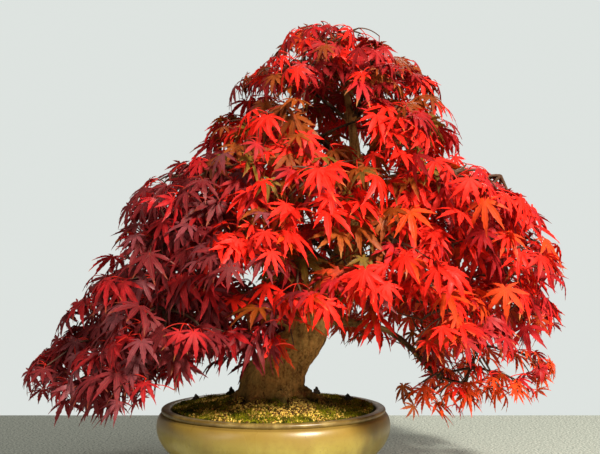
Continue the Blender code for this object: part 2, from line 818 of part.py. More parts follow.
def build_root_cuts():
    """The room that the trunk's base and its roots take up in the soil and the grit."""
    buried = [point for point in TRUNK if point[2] < BURIED_BELOW]
    for number, limb in enumerate([smooth_row(buried, PATH_STEPS), *root_limbs()]):
        sides = TRUNK_SIDES if number == 0 else BRANCH_SIDES
        longer = lengthened(limb)
        cutter = add_object(f"cut_root_{number}", limb_mesh(longer, sides, 2 * GAP), CUTTER)
        as_helper(cutter, ROOT_CUTS)


def lengthened(limb):
    """The same limb with its far end moved out by the clearance."""
    last, before = Vector(limb[-1][:3]), Vector(limb[-2][:3])
    end = last + (last - before).normalized() * 3 * GAP
    first, second = Vector(limb[0][:3]), Vector(limb[1][:3])
    start = first + (first - second).normalized() * 3 * GAP
    return [(*start, limb[0][3]), *[tuple(point) for point in limb[1:-1]], (*end, limb[-1][3])]


# ---------------------------------------------------------------- build

clear_scene()
AXIS = bpy.data.objects.new("pot_axis", None)
AXIS.location = (POT_X, 0, 0)
bpy.context.scene.collection.objects.link(AXIS)

GLAZE = material("glaze", (0.52, 0.41, 0.14), 0.18)
SOIL = material("soil", (0.10, 0.06, 0.03), 0.95)
GRIT = material("grit", (0.42, 0.28, 0.11), 0.90)
MOSS = material("moss", (0.07, 0.10, 0.02), 0.95)
CAKE = material("fertiliser", (0.02, 0.015, 0.01), 0.90)
BARK = material("bark", (0.30, 0.19, 0.11), 0.85)
LEAF = material("leaf", (0.60, 0.03, 0.02), 0.50)
MESH_PLASTIC = material("screen_plastic", (0.05, 0.05, 0.05), 0.60)
WIRE = material("wire", (0.45, 0.22, 0.12), 0.35, metallic=1.0)
CUTTER = material("cutter", (0.8, 0.8, 0.8), 0.50)

ROOT_CUTS = helper_group("root_cuts")
build_root_cuts()
build_pot()
build_drainage()
build_anchor_wire()
build_soil()
build_top_dressing()
build_fertiliser()
PADS = foliage_plan()
ONE_BY_ONE = single_plan()
build_foliage([*PADS, *ONE_BY_ONE])
build_wood([*root_limbs(), *branch_limbs(PADS), *single_limbs(ONE_BY_ONE)])
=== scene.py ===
"""The looks of a Japanese maple bonsai in autumn leaf, in a glazed pot, built round its CAD frame.

Units are metres and +Z is up. The pot is turned again with a finer outline, the wood is the CAD
wood with bark raised on it, moss and grit lie where their CAD layers lie, and every foliage solid
is replaced by a spray of twigs, leaf stalks and seven-lobed leaves.
"""

import math

import bmesh
import bpy
import numpy as np
from mathutils import Matrix, Vector, noise
from mathutils.bvhtree import BVHTree
from mathutils.kdtree import KDTree


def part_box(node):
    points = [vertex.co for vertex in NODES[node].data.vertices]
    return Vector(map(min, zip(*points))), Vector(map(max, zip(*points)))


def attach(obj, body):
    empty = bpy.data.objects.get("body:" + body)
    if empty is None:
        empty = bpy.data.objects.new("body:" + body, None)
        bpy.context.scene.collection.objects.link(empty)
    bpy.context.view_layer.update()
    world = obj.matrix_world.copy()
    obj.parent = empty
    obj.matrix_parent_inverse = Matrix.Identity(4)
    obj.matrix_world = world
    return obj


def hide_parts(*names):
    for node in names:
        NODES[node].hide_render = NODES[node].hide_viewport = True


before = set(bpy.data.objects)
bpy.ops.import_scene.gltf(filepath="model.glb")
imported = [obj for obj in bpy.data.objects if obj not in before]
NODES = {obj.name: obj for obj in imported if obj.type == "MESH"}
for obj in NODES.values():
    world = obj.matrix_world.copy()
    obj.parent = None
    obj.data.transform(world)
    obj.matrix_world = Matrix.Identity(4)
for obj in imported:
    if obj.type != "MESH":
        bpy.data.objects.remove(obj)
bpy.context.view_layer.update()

# ---------------------------------------------------------------- sizes taken from the frame

POT_LOW, POT_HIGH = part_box("pot")
POT_X = (POT_LOW.x + POT_HIGH.x) / 2
POT_HEIGHT = POT_HIGH.z
BELLY_RADIUS = (POT_HIGH.x - POT_LOW.x) / 2
SOIL_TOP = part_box("soil")[1].z
TREE_HEART = np.array((POT_X + 0.060, 0.0, 0.0))  # the upright line that leaves turn away from
VIEW_POINT = np.array((0.010, -1.550, 0.313))  # where the front view is seen from

# ---------------------------------------------------------------- pot

RIM_RADIUS = 0.1440
LIP_WIDTH = 0.0125
LIP_THICKNESS = 0.0060
GROOVE_DEPTH = 0.0025
BELLY_BELOW_RIM = 0.0230
WALL = 0.0090
FLOOR = 0.0100
FOOT_RADIUS = 0.0950
FOOT_WIDTH = 0.0110
FOOT_HEIGHT = 0.0085
BASE_RADIUS = 0.0800
FOOT_NOTCHES = 3
NOTCH_WIDTH = 0.0220
NOTCH_HEIGHT = 0.0050
DRAIN_OFFSET = 0.0450
DRAIN_RADIUS = 0.0120
ANCHOR_HOLE_RADIUS = 0.0022
ANCHOR_OFFSET = 0.0600
ANCHOR_BACK = 0.0250
POT_STEPS = 180

# ---------------------------------------------------------------- leaves

LOBE_ANGLES = np.radians((-114, -70, -35, 0, 35, 70, 114))
LOBE_LENGTHS = np.array((0.40, 0.74, 0.93, 1.00, 0.93, 0.74, 0.40))
LOBES = len(LOBE_ANGLES)
STATIONS = 8  # rows of points along a lobe, without its tip
SINUS_SHARE = 0.23  # how far from the stalk two lobes part
LOBE_START = 0.26  # how far from the stalk a lobe's own outline begins
LOBE_WIDTH = 0.33
OUTER_ANGLE = math.radians(142)
OUTER_SHARE = 0.15
TOOTH = 0.11
LEAF_THICKNESS = 0.00022  # half of a blade's thickness over its midrib
LEAF_SIZES = (0.026, 0.044)  # the middle lobe's length
LEAF_FALL = (12, 68)  # how steeply leaves hang, in degrees
LEAF_TRIES = 6  # how often a leaf is turned again to fit the tree's outline
THREE_LEAVES = (-0.95, 0.95, 0.0)  # how far the leaves of a twig's end turn from each other
TWO_LEAVES = (-0.6, 0.6)
THREE_SHARE = 0.70  # of the twigs' ends
LOW_RIGHT = (0.09, 0.165)  # leaves are fewer beyond this x and under this z
LOW_RIGHT_THINNED = 0.25
DEPTH_REACH = (-0.234, 0.236)  # how far leaf tips reach to the front and to the back

STALK_LENGTHS = (0.012, 0.030)
STALK_RADII = (0.00066, 0.00046)  # at the twig and at the blade
STALK_STEPS = 4
STALK_SIDES = 5
TWIG_RADIUS = 0.00062  # of a twig that carries only its own end
TWIG_STEPS = 5
TWIG_SIDES = 6
TWIG_SPACING = 0.0145
TWIG_COUNTS = (13, 22)  # on the smallest and on the largest pads
TWIG_AREA = 0.00075  # of a pad, seen from above, for each twig's end
LET_DOWN_SHARE = 0.45  # of the twigs' ends hang under their pad
LET_DOWN = (0.012, 0.048)

# left and right edge of the leaves, seen from the view point, from the top down
OUTLINE = (
    (0.572, 0.010, 0.070),
    (0.548, -0.026, 0.128),
    (0.510, -0.058, 0.178),
    (0.483, -0.084, 0.219),
    (0.445, -0.115, 0.224),
    (0.400, -0.152, 0.232),
    (0.361, -0.212, 0.284),
    (0.328, -0.238, 0.348),
    (0.296, -0.264, 0.352),
    (0.250, -0.264, 0.360),
    (0.200, -0.302, 0.363),
    (0.160, -0.322, 0.330),
    (0.120, -0.362, 0.350),
    (0.080, -0.340, 0.310),
    (0.055, -0.290, 0.300),
)

# lowest leaf tips, seen from the view point, from left to right
LOWER_EDGE = (
    (-0.360, 0.104),
    (-0.286, 0.055),
    (-0.209, 0.074),
    (-0.170, 0.098),
    (-0.132, 0.113),
    (-0.100, 0.124),
    (-0.061, 0.104),
    (-0.010, 0.096),
    (0.006, 0.156),
    (0.088, 0.160),
    (0.108, 0.152),
    (0.122, 0.072),
    (0.191, 0.055),
    (0.268, 0.064),
    (0.307, 0.088),
    (0.360, 0.106),
)

# openings between the front leaves: middle x and z, half width and half height
WINDOWS = (
    (0.026, 0.136, 0.028, 0.040),
    (0.056, 0.268, 0.044, 0.026),
    (0.058, 0.455, 0.044, 0.046),
    (0.150, 0.185, 0.052, 0.018),
)
# the opening under the low right limb, clear of leaves from front to back
THROUGH = (0.104, 0.132, 0.056, 0.030)
FRONT_GROWTH = 1.22  # how much larger the leaves on the front shoots are
# ends of the long shoots whose leaves hang in front of the trunk's left side
FRONT_SHOOTS = {
    "foliage_skirt_front_left": (
        (-0.104, -0.140, 0.192),
        (-0.078, -0.140, 0.190),
        (-0.050, -0.130, 0.188),
        (-0.030, -0.125, 0.176),
        (-0.008, -0.115, 0.168),
    ),
}

MAROON = (0.110, 0.009, 0.013)
# mauve for a painted sheen on maroon leaves
MAUVE_SHEEN = (0.170, 0.038, 0.048)
CRIMSON = (0.400, 0.006, 0.010)
SCARLET = (0.900, 0.012, 0.004)
FLAME = (0.640, 0.044, 0.003)
RUST = (0.270, 0.055, 0.004)
OLIVE = (0.130, 0.105, 0.010)
DRY_TIP = (0.42, 0.20, 0.05)
STALK_RED = (0.70, 0.020, 0.010)
TWIG_BROWN = (0.085, 0.040, 0.022)

# ---------------------------------------------------------------- ground

LAYER_VOXEL = 0.0013
CAKE_VOXEL = 0.0007
GROUND_RADIUS = RIM_RADIUS - LIP_WIDTH - 0.003
TRUNK_X = 0.005
PATCH_SCALE = 34.0
GRAIN_COUNT = 4600
GRAIN_SIZES = (0.0008, 0.0021)
TUFT_COUNT = 9000
STRAW = (0.88, 0.60, 0.13)
TAN = (0.60, 0.34, 0.07)
BROWN = (0.14, 0.065, 0.018)
GRIT_BED = ((0.030, 0.016, 0.004), (0.100, 0.056, 0.010))
MOSS_BED = ((0.022, 0.026, 0.002), (0.095, 0.100, 0.006))
MOSS_SHOOTS = ((0.050, 0.062, 0.003), (0.330, 0.300, 0.012))

# ---------------------------------------------------------------- wood

WOOD_VOXEL = 0.0017
BARK_DEPTH = 0.0020
GIRTH_LIMITS = (0.003, 0.06)
GIRTH_UNIT = 0.05  # the thickness that the bark's material reads as 1

# ---------------------------------------------------------------- stage and camera

TABLE_WIDTH = 8.0
TABLE_FRONT = -3.0
TABLE_BACK = 0.45
TABLE_THICKNESS = 0.04
BACKGROUND = (0.73, 0.77, 0.745)
SKY_LIGHT = (0.92, 0.88, 0.78)
SKY_STRENGTH = 0.28
LENS = 72.2
SENSOR_WIDTH = 36


# ---------------------------------------------------------------- mesh helpers


def add_attribute(mesh, label, values):
    """Stores three numbers for each point, where a material can read them."""
    layer = mesh.attributes.new(label, "FLOAT_COLOR", "POINT")
    filled = np.ones((len(values), 4), np.float32)
    filled[:, :3] = values
    layer.data.foreach_set("color", filled.ravel())


def mesh_object(name, points, triangles, finish, attributes):
    """An object of triangles, with any colour or vector attributes that its material reads."""
    mesh = bpy.data.meshes.new(name)
    count = len(triangles)
    mesh.vertices.add(len(points))
    mesh.vertices.foreach_set("co", np.asarray(points, np.float32).ravel())
    mesh.loops.add(3 * count)
    mesh.loops.foreach_set("vertex_index", np.asarray(triangles, np.int32).ravel())
    mesh.polygons.add(count)
    mesh.polygons.foreach_set("loop_start", np.arange(0, 3 * count, 3, dtype=np.int32))
    mesh.update(calc_edges=True)
    mesh.validate()
    for label, values in attributes.items():
        add_attribute(mesh, label, values)
    mesh.shade_smooth()
    mesh.set_sharp_from_angle(angle=math.radians(62))
    return linked(name, mesh, finish)


def linked(name, mesh, finish):
    """A new object in the scene, with one material."""
    mesh.materials.clear()
    mesh.materials.append(finish)
    obj = bpy.data.objects.new(name, mesh)
    bpy.context.scene.collection.objects.link(obj)
    return obj


def placed(obj, node):
    """Fixes a piece to the frame, in place of the CAD node that it stands for."""
    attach(obj, "root")
    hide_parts(node)


def applied(obj):
    """Turns an object's modifiers into its mesh."""
    graph = bpy.context.evaluated_depsgraph_get()
    mesh = bpy.data.meshes.new_from_object(obj.evaluated_get(graph))
    obj.modifiers.clear()
    obj.data = mesh


def remeshed(name, node, voxel, smoothing, finish):
    """A finer copy of a CAD node's mesh, with even faces and softened edges."""
    obj = linked(name, NODES[node].data.copy(), finish)
    remesh = obj.modifiers.new("even", "REMESH")
    remesh.mode = "VOXEL"
    remesh.voxel_size = voxel
    smooth = obj.modifiers.new("soft", "SMOOTH")
    smooth.factor = 0.5
    smooth.iterations = smoothing
    applied(obj)
    obj.data.materials.clear()
    obj.data.materials.append(finish)
    obj.data.shade_smooth()
    return obj


def mesh_arrays(mesh):
    """A mesh's points, its points' normals and its triangles."""
    points = np.empty(len(mesh.vertices) * 3, np.float32)
    mesh.vertices.foreach_get("co", points)
    normals = np.empty(len(mesh.vertices) * 3, np.float32)
    mesh.vertex_normals.foreach_get("vector", normals)
    mesh.calc_loop_triangles()
    triangles = np.empty(len(mesh.loop_triangles) * 3, np.int32)
    mesh.loop_triangles.foreach_get("vertices", triangles)
    shape = (-1, 3)
    return (
        points.reshape(shape).astype(float),
        normals.reshape(shape).astype(float),
        triangles.reshape(shape),
    )


def moved(mesh, points):
    mesh.vertices.foreach_set("co", np.asarray(points, np.float32).ravel())
    mesh.update()


def unit(rows):
    return rows / np.maximum(np.linalg.norm(rows, axis=-1, keepdims=True), 1e-12)


def joined(parts):
    """Several (points, triangles) sets as one."""
    points = np.concatenate([part[0] for part in parts])
    offsets = np.cumsum([0, *[len(part[0]) for part in parts[:-1]]])
    triangles = np.concatenate([part[1] + at for part, at in zip(parts, offsets)])
    return points, triangles


# ---------------------------------------------------------------- material helpers


class Finish:
    """A Principled material, with short calls for the nodes that feed it."""

    def __init__(self, name, roughness=0.5, specular=0.5):
        self.material = bpy.data.materials.new(name)
        self.material.use_nodes = True
        self.tree = self.material.node_tree
        self.shader = self.tree.nodes["Principled BSDF"]
        self.shader.inputs["Roughness"].default_value = roughness
        self.shader.inputs["Specular IOR Level"].default_value = specular
        self.place = self.node("ShaderNodeTexCoord").outputs["Object"]

    def node(self, kind, **settings):
        made = self.tree.nodes.new(kind)
        for label, value in settings.items():
            setattr(made, label, value)
        return made

    def feed(self, socket, value):
        if isinstance(value, bpy.types.NodeSocket):
            self.tree.links.new(value, socket)
        elif isinstance(value, tuple) and len(value) == 3 and socket.type == "RGBA":
            socket.default_value = (*value, 1)
        else:
            socket.default_value = value

    def scaled(self, scale):
        made = self.node("ShaderNodeMapping")
        self.feed(made.inputs["Vector"], self.place)
        made.inputs["Scale"].default_value = scale
        return made.outputs["Vector"]

    def noise(self, scale, detail=4.0, rough=0.55, stretch=None, distortion=0.0):
        made = self.node("ShaderNodeTexNoise")
        self.feed(made.inputs["Vector"], self.scaled(stretch) if stretch else self.place)
        made.inputs["Scale"].default_value = scale
        made.inputs["Detail"].default_value = detail
        made.inputs["Roughness"].default_value = rough
        made.inputs["Distortion"].default_value = distortion
        return made.outputs["Fac"]

    def cells(self, scale):
        made = self.node("ShaderNodeTexVoronoi", feature="F1")
        self.feed(made.inputs["Vector"], self.place)
        made.inputs["Scale"].default_value = scale
        return made.outputs["Distance"]

    def attribute(self, name):
        return self.node("ShaderNodeAttribute", attribute_name=name)

    def axis(self, vector, index):
        made = self.node("ShaderNodeSeparateXYZ")
        self.feed(made.inputs[0], vector)
        return made.outputs[index]

    def math(self, operation, first, second=0.0):
        made = self.node("ShaderNodeMath", operation=operation)
        self.feed(made.inputs[0], first)
        self.feed(made.inputs[1], second)
        return made.outputs[0]

    def ramp(self, value, low, high, bottom=0.0, top=1.0):
        made = self.node("ShaderNodeMapRange", interpolation_type="SMOOTHSTEP")
        for label, number in zip(
            ("Value", "From Min", "From Max", "To Min", "To Max"),
            (value, low, high, bottom, top),
        ):
            self.feed(made.inputs[label], number)
        return made.outputs["Result"]

    def mix(self, share, first, second, blend="MIX"):
        made = self.node("ShaderNodeMix", data_type="RGBA", blend_type=blend)
        self.feed(made.inputs["Factor"], share)
        self.feed(made.inputs[6], first)
        self.feed(made.inputs[7], second)
        return made.outputs[2]

    def bump(self, height, distance, strength=1.0, after=None):
        made = self.node("ShaderNodeBump")
        made.inputs["Strength"].default_value = strength
        made.inputs["Distance"].default_value = distance
        self.feed(made.inputs["Height"], height)
        if after:
            self.feed(made.inputs["Normal"], after)
        return made.outputs["Normal"]

    def set(self, **values):
        for label, value in values.items():
            self.feed(self.shader.inputs[label.replace("_", " ")], value)
        return self.material


# ---------------------------------------------------------------- materials


def glaze_finish():
    """Ochre glaze that runs thin and brown over the lip and shoulder, on a bare clay foot."""
    f = Finish("ochre_glaze")
    height = f.axis(f.place, 2)
    cloud = f.noise(22, detail=5)
    run = f.noise(26, detail=3, stretch=(1, 1, 0.22))
    body = f.mix(f.ramp(cloud, 0.35, 0.70), (0.38, 0.285, 0.050), (0.52, 0.42, 0.095))
    body = f.mix(f.ramp(run, 0.50, 0.72, 0, 0.50), body, (0.28, 0.160, 0.025))
    edge = f.math("ADD", height, f.math("MULTIPLY", cloud, 0.016))
    shoulder = f.ramp(edge, POT_HEIGHT - 0.028, POT_HEIGHT - 0.004)
    body = f.mix(f.math("MULTIPLY", shoulder, 0.70), body, (0.27, 0.150, 0.028))
    lip = f.ramp(height, POT_HEIGHT - 0.0075, POT_HEIGHT - 0.0030)
    worn = f.mix(f.ramp(f.noise(60), 0.40, 0.65), (0.130, 0.078, 0.020), (0.350, 0.250, 0.085))
    body = f.mix(f.math("MULTIPLY", lip, 0.80), body, worn)
    # a dark line in the groove under the lip: painted shade
    under_lip = POT_HEIGHT - LIP_THICKNESS - 0.0015
    groove = f.ramp(f.math("ABSOLUTE", f.math("SUBTRACT", height, under_lip)), 0.0018, 0.0004)
    body = f.mix(f.math("MULTIPLY", groove, 0.40), body, (0.075, 0.040, 0.010))
    fine = f.ramp(f.noise(210, detail=5, rough=0.7), 0.45, 0.70, 0, 0.30)
    body = f.mix(fine, body, (0.25, 0.160, 0.035))
    speck = f.ramp(f.cells(150), 0.12, 0.04)
    rare = f.ramp(f.noise(45, detail=1), 0.46, 0.58)
    body = f.mix(f.math("MULTIPLY", speck, rare), body, (0.11, 0.075, 0.035))
    clay_edge = f.math("ADD", height, f.math("MULTIPLY", f.noise(40), 0.003))
    bare = f.ramp(clay_edge, FOOT_HEIGHT + 0.0045, FOOT_HEIGHT + 0.0030)
    clay = f.mix(f.noise(90), (0.16, 0.10, 0.065), (0.27, 0.18, 0.12))
    wavy = f.bump(cloud, 0.0012, 0.35)
    grainy = f.bump(f.math("MULTIPLY", f.noise(420), bare), 0.0006, 0.6, wavy)
    sheen = f.math("ADD", f.ramp(run, 0.3, 0.8, 0.26, 0.40), f.math("MULTIPLY", bare, 0.5))
    f.shader.inputs["Coat Weight"].default_value = 0.22
    f.shader.inputs["Coat Roughness"].default_value = 0.30
    return f.set(Base_Color=f.mix(bare, body, clay), Roughness=sheen, Normal=grainy)


def bark_finish():
    """Brown-tan bark on the trunk, darker on thin branches, with patches of painted shade and moss
    round the base.
    """
    f = Finish("maple_bark", 0.90, specular=0.20)
    girth = f.axis(f.attribute("girth").outputs["Vector"], 0)
    height = f.axis(f.place, 2)
    furrow = f.noise(165, detail=6, rough=0.65, stretch=(1, 1, 0.25), distortion=0.6)
    patch = f.noise(30, detail=3)
    bark = f.mix(f.ramp(furrow, 0.34, 0.62), (0.095, 0.034, 0.008), (0.53, 0.24, 0.062))
    bark = f.mix(f.ramp(patch, 0.50, 0.66, 0, 0.50), bark, (0.66, 0.38, 0.11))
    # dark patches of noise: painted shade on the bark
    painted_shade_patches = f.ramp(f.noise(55, detail=5), 0.48, 0.66, 0, 0.68)
    bark = f.mix(painted_shade_patches, bark, (0.120, 0.052, 0.014))
    grain = f.ramp(f.noise(330, detail=5, rough=0.7), 0.40, 0.66, 0, 0.45)
    bark = f.mix(grain, bark, (0.84, 0.47, 0.13))
    twig = f.mix(f.ramp(furrow, 0.40, 0.62), (0.018, 0.009, 0.005), (0.070, 0.036, 0.016))
    wood = f.mix(f.ramp(girth, 0.10, 0.42), twig, bark)
    mossy = f.math("ADD", height, f.math("MULTIPLY", f.noise(38, detail=5), 0.085))
    moss = f.ramp(mossy, SOIL_TOP + 0.066, SOIL_TOP + 0.030)
    green = f.mix(f.noise(260), (0.030, 0.030, 0.008), (0.095, 0.088, 0.018))
    wood = f.mix(f.math("MULTIPLY", moss, 0.80), wood, green)
    raised = f.bump(furrow, 0.0022, 0.8)
    raised = f.bump(f.noise(430, detail=4), 0.0010, 0.8, raised)
    return f.set(Base_Color=wood, Normal=raised)


def leaf_finish():
    """One finish for blades, stalks and twigs: the tint is in the mesh, the veins are here."""
    f = Finish("maple_leaf", specular=0.20)
    tint = f.attribute("tint").outputs["Color"]
    blade = f.attribute("blade").outputs["Vector"]
    along, across, chance = (f.axis(blade, index) for index in range(3))
    rib = f.ramp(across, 0.16, 0.03)
    slant = f.math("SUBTRACT", f.math("MULTIPLY", along, 15.0), f.math("MULTIPLY", across, 1.6))
    side = f.ramp(f.math("PINGPONG", slant, 0.5), 0.10, 0.02, 0, 0.5)
    veins = f.math("MAXIMUM", rib, side)
    veins = f.math("MULTIPLY", veins, f.ramp(along, 1.0, 0.75))
    mottle = f.noise(110, detail=4)
    tone = f.mix(f.ramp(mottle, 0.30, 0.70), (0.72, 0.72, 0.72), (1.16, 1.16, 1.16))
    colour = f.mix(1.0, tint, tone, "MULTIPLY")
    blush = f.mix(0.25, tint, (0.85, 0.10, 0.06))
    colour = f.mix(f.math("MULTIPLY", veins, 0.65), colour, blush)
    ridges = f.bump(veins, 0.0005, 0.5)
    ridges = f.bump(mottle, 0.0004, 0.35, ridges)
    gloss = f.ramp(f.math("ADD", mottle, chance), 0.4, 1.4, 0.40, 0.60)
    f.shader.inputs["Subsurface Weight"].default_value = 0.10
    f.shader.inputs["Subsurface Radius"].default_value = (0.004, 0.0012, 0.0008)
    f.shader.inputs["Subsurface Scale"].default_value = 1.0
    return f.set(Base_Color=colour, Roughness=gloss, Normal=ridges)


def soil_finish():
    f = Finish("dark_soil", 0.95, specular=0.15)
    crumb = f.cells(260)
    colour = f.mix(f.noise(90), (0.022, 0.012, 0.006), (0.085, 0.050, 0.026))
    colour = f.mix(f.ramp(crumb, 0.1, 0.5, 0, 0.5), colour, (0.12, 0.075, 0.04))
    return f.set(Base_Color=colour, Normal=f.bump(crumb, 0.002, 0.8))


def grit_finish():
    """Golden-tan grains, each with its own tint, dusted with darker crumbs."""
    f = Finish("golden_grit", 0.80, specular=0.15)
    tint = f.attribute("tint").outputs["Color"]
    fine = f.noise(900, detail=3)
    tone = f.mix(f.ramp(fine, 0.3, 0.7), (0.62, 0.60, 0.55), (1.15, 1.12, 1.05))
    colour = f.mix(1.0, tint, tone, "MULTIPLY")
    return f.set(Base_Color=colour, Normal=f.bump(fine, 0.0005, 0.7))


def moss_finish():
    f = Finish("moss", 0.92, specular=0.10)
    tint = f.attribute("tint").outputs["Color"]
    fine = f.noise(700, detail=4)
    tone = f.mix(f.ramp(fine, 0.3, 0.7), (0.45, 0.48, 0.40), (1.25, 1.22, 1.0))
    colour = f.mix(1.0, tint, tone, "MULTIPLY")
    return f.set(Base_Color=colour, Normal=f.bump(fine, 0.0009, 0.9))


def cake_finish():
    f = Finish("fertiliser", 0.93)
    crumb = f.cells(520)
    colour = f.mix(f.noise(320), (0.010, 0.008, 0.006), (0.050, 0.034, 0.020))
    colour = f.mix(f.ramp(f.noise(160), 0.58, 0.70, 0, 0.5), colour, (0.05, 0.055, 0.012))
    return f.set(Base_Color=colour, Normal=f.bump(crumb, 0.0012, 0.9))


def plastic_finish():
    f = Finish("screen_plastic")
    scuff = f.noise(400, detail=3, stretch=(1, 0.15, 1))
    colour = f.mix(f.ramp(scuff, 0.4, 0.7), (0.020, 0.021, 0.022), (0.055, 0.055, 0.056))
    gloss = f.ramp(scuff, 0.3, 0.8, 0.42, 0.66)
    return f.set(Base_Color=colour, Roughness=gloss, Normal=f.bump(scuff, 0.0002, 0.4))


def wire_finish():
    f = Finish("coated_wire")
    tarnish = f.noise(300, detail=4)
    colour = f.mix(f.ramp(tarnish, 0.35, 0.7), (0.55, 0.27, 0.14), (0.20, 0.10, 0.06))
    f.shader.inputs["Metallic"].default_value = 1.0
    gloss = f.ramp(tarnish, 0.3, 0.8, 0.28, 0.55)
    return f.set(Base_Color=colour, Roughness=gloss, Normal=f.bump(tarnish, 0.0002, 0.5))


def table_finish():
    f = Finish("pale_table", 0.90, specular=0.15)
    fine = f.noise(320, detail=5, rough=0.7)
    colour = f.mix(f.ramp(fine, 0.40, 0.60), (0.21, 0.24, 0.225), (0.52, 0.56, 0.515))
    return f.set(Base_Color=colour, Normal=f.bump(fine, 0.0006, 0.4))


# ---------------------------------------------------------------- pot


def ellipse_arc(centre, size, start, end, steps):
    """(radius, height) points on part of an ellipse, between two angles in degrees."""
    angles = np.radians(np.linspace(start, end, steps + 1))
    return [
        (centre[0] + size[0] * math.cos(angle), centre[1] + size[1] * math.sin(angle))
        for angle in angles
    ]


def pot_profile():
    """The pot's section, from the middle of its underside round to the middle of its floor."""
    belly = POT_HEIGHT - BELLY_BELOW_RIM
    groove = (RIM_RADIUS - GROOVE_DEPTH, POT_HEIGHT - LIP_THICKNESS)
    mouth = RIM_RADIUS - LIP_WIDTH
    floor_top = FOOT_HEIGHT + FLOOR
    foot = FOOT_RADIUS - FOOT_WIDTH
    half = LIP_THICKNESS / 2
    round_off = 0.0012
    bowl = (BELLY_RADIUS - BASE_RADIUS, belly - FOOT_HEIGHT)
    under = [(0, FOOT_HEIGHT), (foot, FOOT_HEIGHT), (foot, round_off), (foot + round_off, 0)]
    under += [(FOOT_RADIUS - round_off, 0), (FOOT_RADIUS, round_off)]
    side = ellipse_arc((BASE_RADIUS, belly), bowl, -80, 0, 36)
    side = [point for point in side if point[0] > FOOT_RADIUS]
    shoulder = ellipse_arc(
        (groove[0], belly), (BELLY_RADIUS - groove[0], groove[1] - belly), 0, 78, 14
    )
    lip = ellipse_arc((RIM_RADIUS - half, POT_HEIGHT - half), (half, half), -80, 90, 14)
    lip += ellipse_arc((mouth + half, POT_HEIGHT - half), (half, half), 100, 180, 9)
    inner = (bowl[0] - WALL, belly - floor_top)
    inside = ellipse_arc((BASE_RADIUS, belly), inner, 0, -90, 18)
    top = (mouth, groove[1] - LIP_THICKNESS)
    return [*under, *side, *shoulder[1:], groove, *lip, top, *inside, (0, floor_top)]


def turned(profile, steps):
    """A profile whose ends lie on the axis, spun round it."""
    bm = bmesh.new()
    points = [bm.verts.new((radius, 0, height)) for radius, height in profile]
    edges = [bm.edges.new(pair) for pair in zip(points, points[1:])]
    bmesh.ops.spin(
        bm,
        geom=points + edges,
        cent=(0, 0, 0),
        axis=(0, 0, 1),
        angle=2 * math.pi,
        steps=steps,
        use_merge=True,
    )
    bmesh.ops.remove_doubles(bm, verts=bm.verts, dist=1e-6)
    return bm


def mesh_of(name, bm):
    bmesh.ops.recalc_face_normals(bm, faces=bm.faces)
    mesh = bpy.data.meshes.new(name)
    bm.to_mesh(mesh)
    bm.free()
    return mesh


def pot_cutters():
    """The drain holes, the holes for the anchor wire and the notches in the foot."""
    bm = bmesh.new()
    for side in (-1, 1):
        for x, y, radius in (
            (side * DRAIN_OFFSET, 0, DRAIN_RADIUS),
            (side * ANCHOR_OFFSET, ANCHOR_BACK, ANCHOR_HOLE_RADIUS),
        ):
            bmesh.ops.create_cone(
                bm,
                cap_ends=True,
                segments=40,
                radius1=radius,
                radius2=radius,
                depth=4 * FLOOR,
                matrix=Matrix.Translation((x, y, FOOT_HEIGHT + FLOOR)),
            )
    for number in range(FOOT_NOTCHES):
        turn = Matrix.Rotation(math.radians(30 + 360 * number / FOOT_NOTCHES), 4, "Z")
        away = Matrix.Translation((FOOT_RADIUS - FOOT_WIDTH / 2, 0, 0))
        size = Matrix.Diagonal((3 * FOOT_WIDTH, NOTCH_WIDTH, 2 * NOTCH_HEIGHT, 1))
        bmesh.ops.create_cube(bm, size=1, matrix=turn @ away @ size)
    return bm


def build_pot():
    finish = glaze_finish()
    pot = linked("glazed_pot", mesh_of("pot", turned(pot_profile(), POT_STEPS)), finish)
    cutter = linked("pot_cutters", mesh_of("pot_cutters", pot_cutters()), finish)
    cut = pot.modifiers.new("holes", "BOOLEAN")
    cut.solver = "EXACT"
    cut.operation = "DIFFERENCE"
    cut.object = cutter
    applied(pot)
    bpy.data.objects.remove(cutter)
    pot.data.transform(Matrix.Translation((POT_X, 0, 0)))
    pot.data.shade_smooth()
    pot.data.set_sharp_from_angle(angle=math.radians(38))
    placed(pot, "pot")


# ---------------------------------------------------------------- soil, moss and grit


def surface_tree(objects):
    """What a probe from above meets: the meshes of these objects as one."""
    parts = []
    for obj in objects:
        points, _, triangles = mesh_arrays(obj.data)
        parts.append((points, triangles))
    points, triangles = joined(parts)
    return BVHTree.FromPolygons(points.tolist(), triangles.tolist())


def roughen(obj, scale, lift, seed):
    """Raises low cushions on the upper side of a layer."""
    points, normals, _ = mesh_arrays(obj.data)
    rise = np.zeros(len(points))
    shift = Vector((seed, 0, 0))
    for index in np.nonzero(normals[:, 2] > 0.2)[0]:
        place = Vector(points[index])
        rise[index] = noise.noise(place * scale + shift) + 0.5 * noise.noise(
            place * scale * 2.7 - shift
        )
    points[:, 2] += lift * np.clip(rise + 0.35, -0.2, 1.2)
    moved(obj.data, points)


GRAIN = (  # the corners of a grain before it is worn, as an octahedron
    np.array(((1, 0, 0), (0, 1, 0), (-1, 0, 0), (0, -1, 0), (0, 0, 1), (0, 0, -1)), float),
    np.array(
        ((0, 1, 4), (1, 2, 4), (2, 3, 4), (3, 0, 4), (1, 0, 5), (2, 1, 5), (3, 2, 5), (0, 3, 5))
    ),
)


def finer(points, triangles):
    """Splits each triangle in four and pushes the new points out to the unit sphere."""
    points = list(map(tuple, points))
    known = {}

    def middle(a, b):
        key = (min(a, b), max(a, b))
        if key not in known:
            known[key] = len(points)
            points.append(tuple(unit(np.array(points[a]) + np.array(points[b]))))
        return known[key]

    made = []
    for a, b, c in triangles:
        ab, bc, ca = middle(a, b), middle(b, c), middle(c, a)
        made += [(a, ab, ca), (ab, b, bc), (ca, bc, c), (ab, bc, ca)]
    return np.array(points), np.array(made)


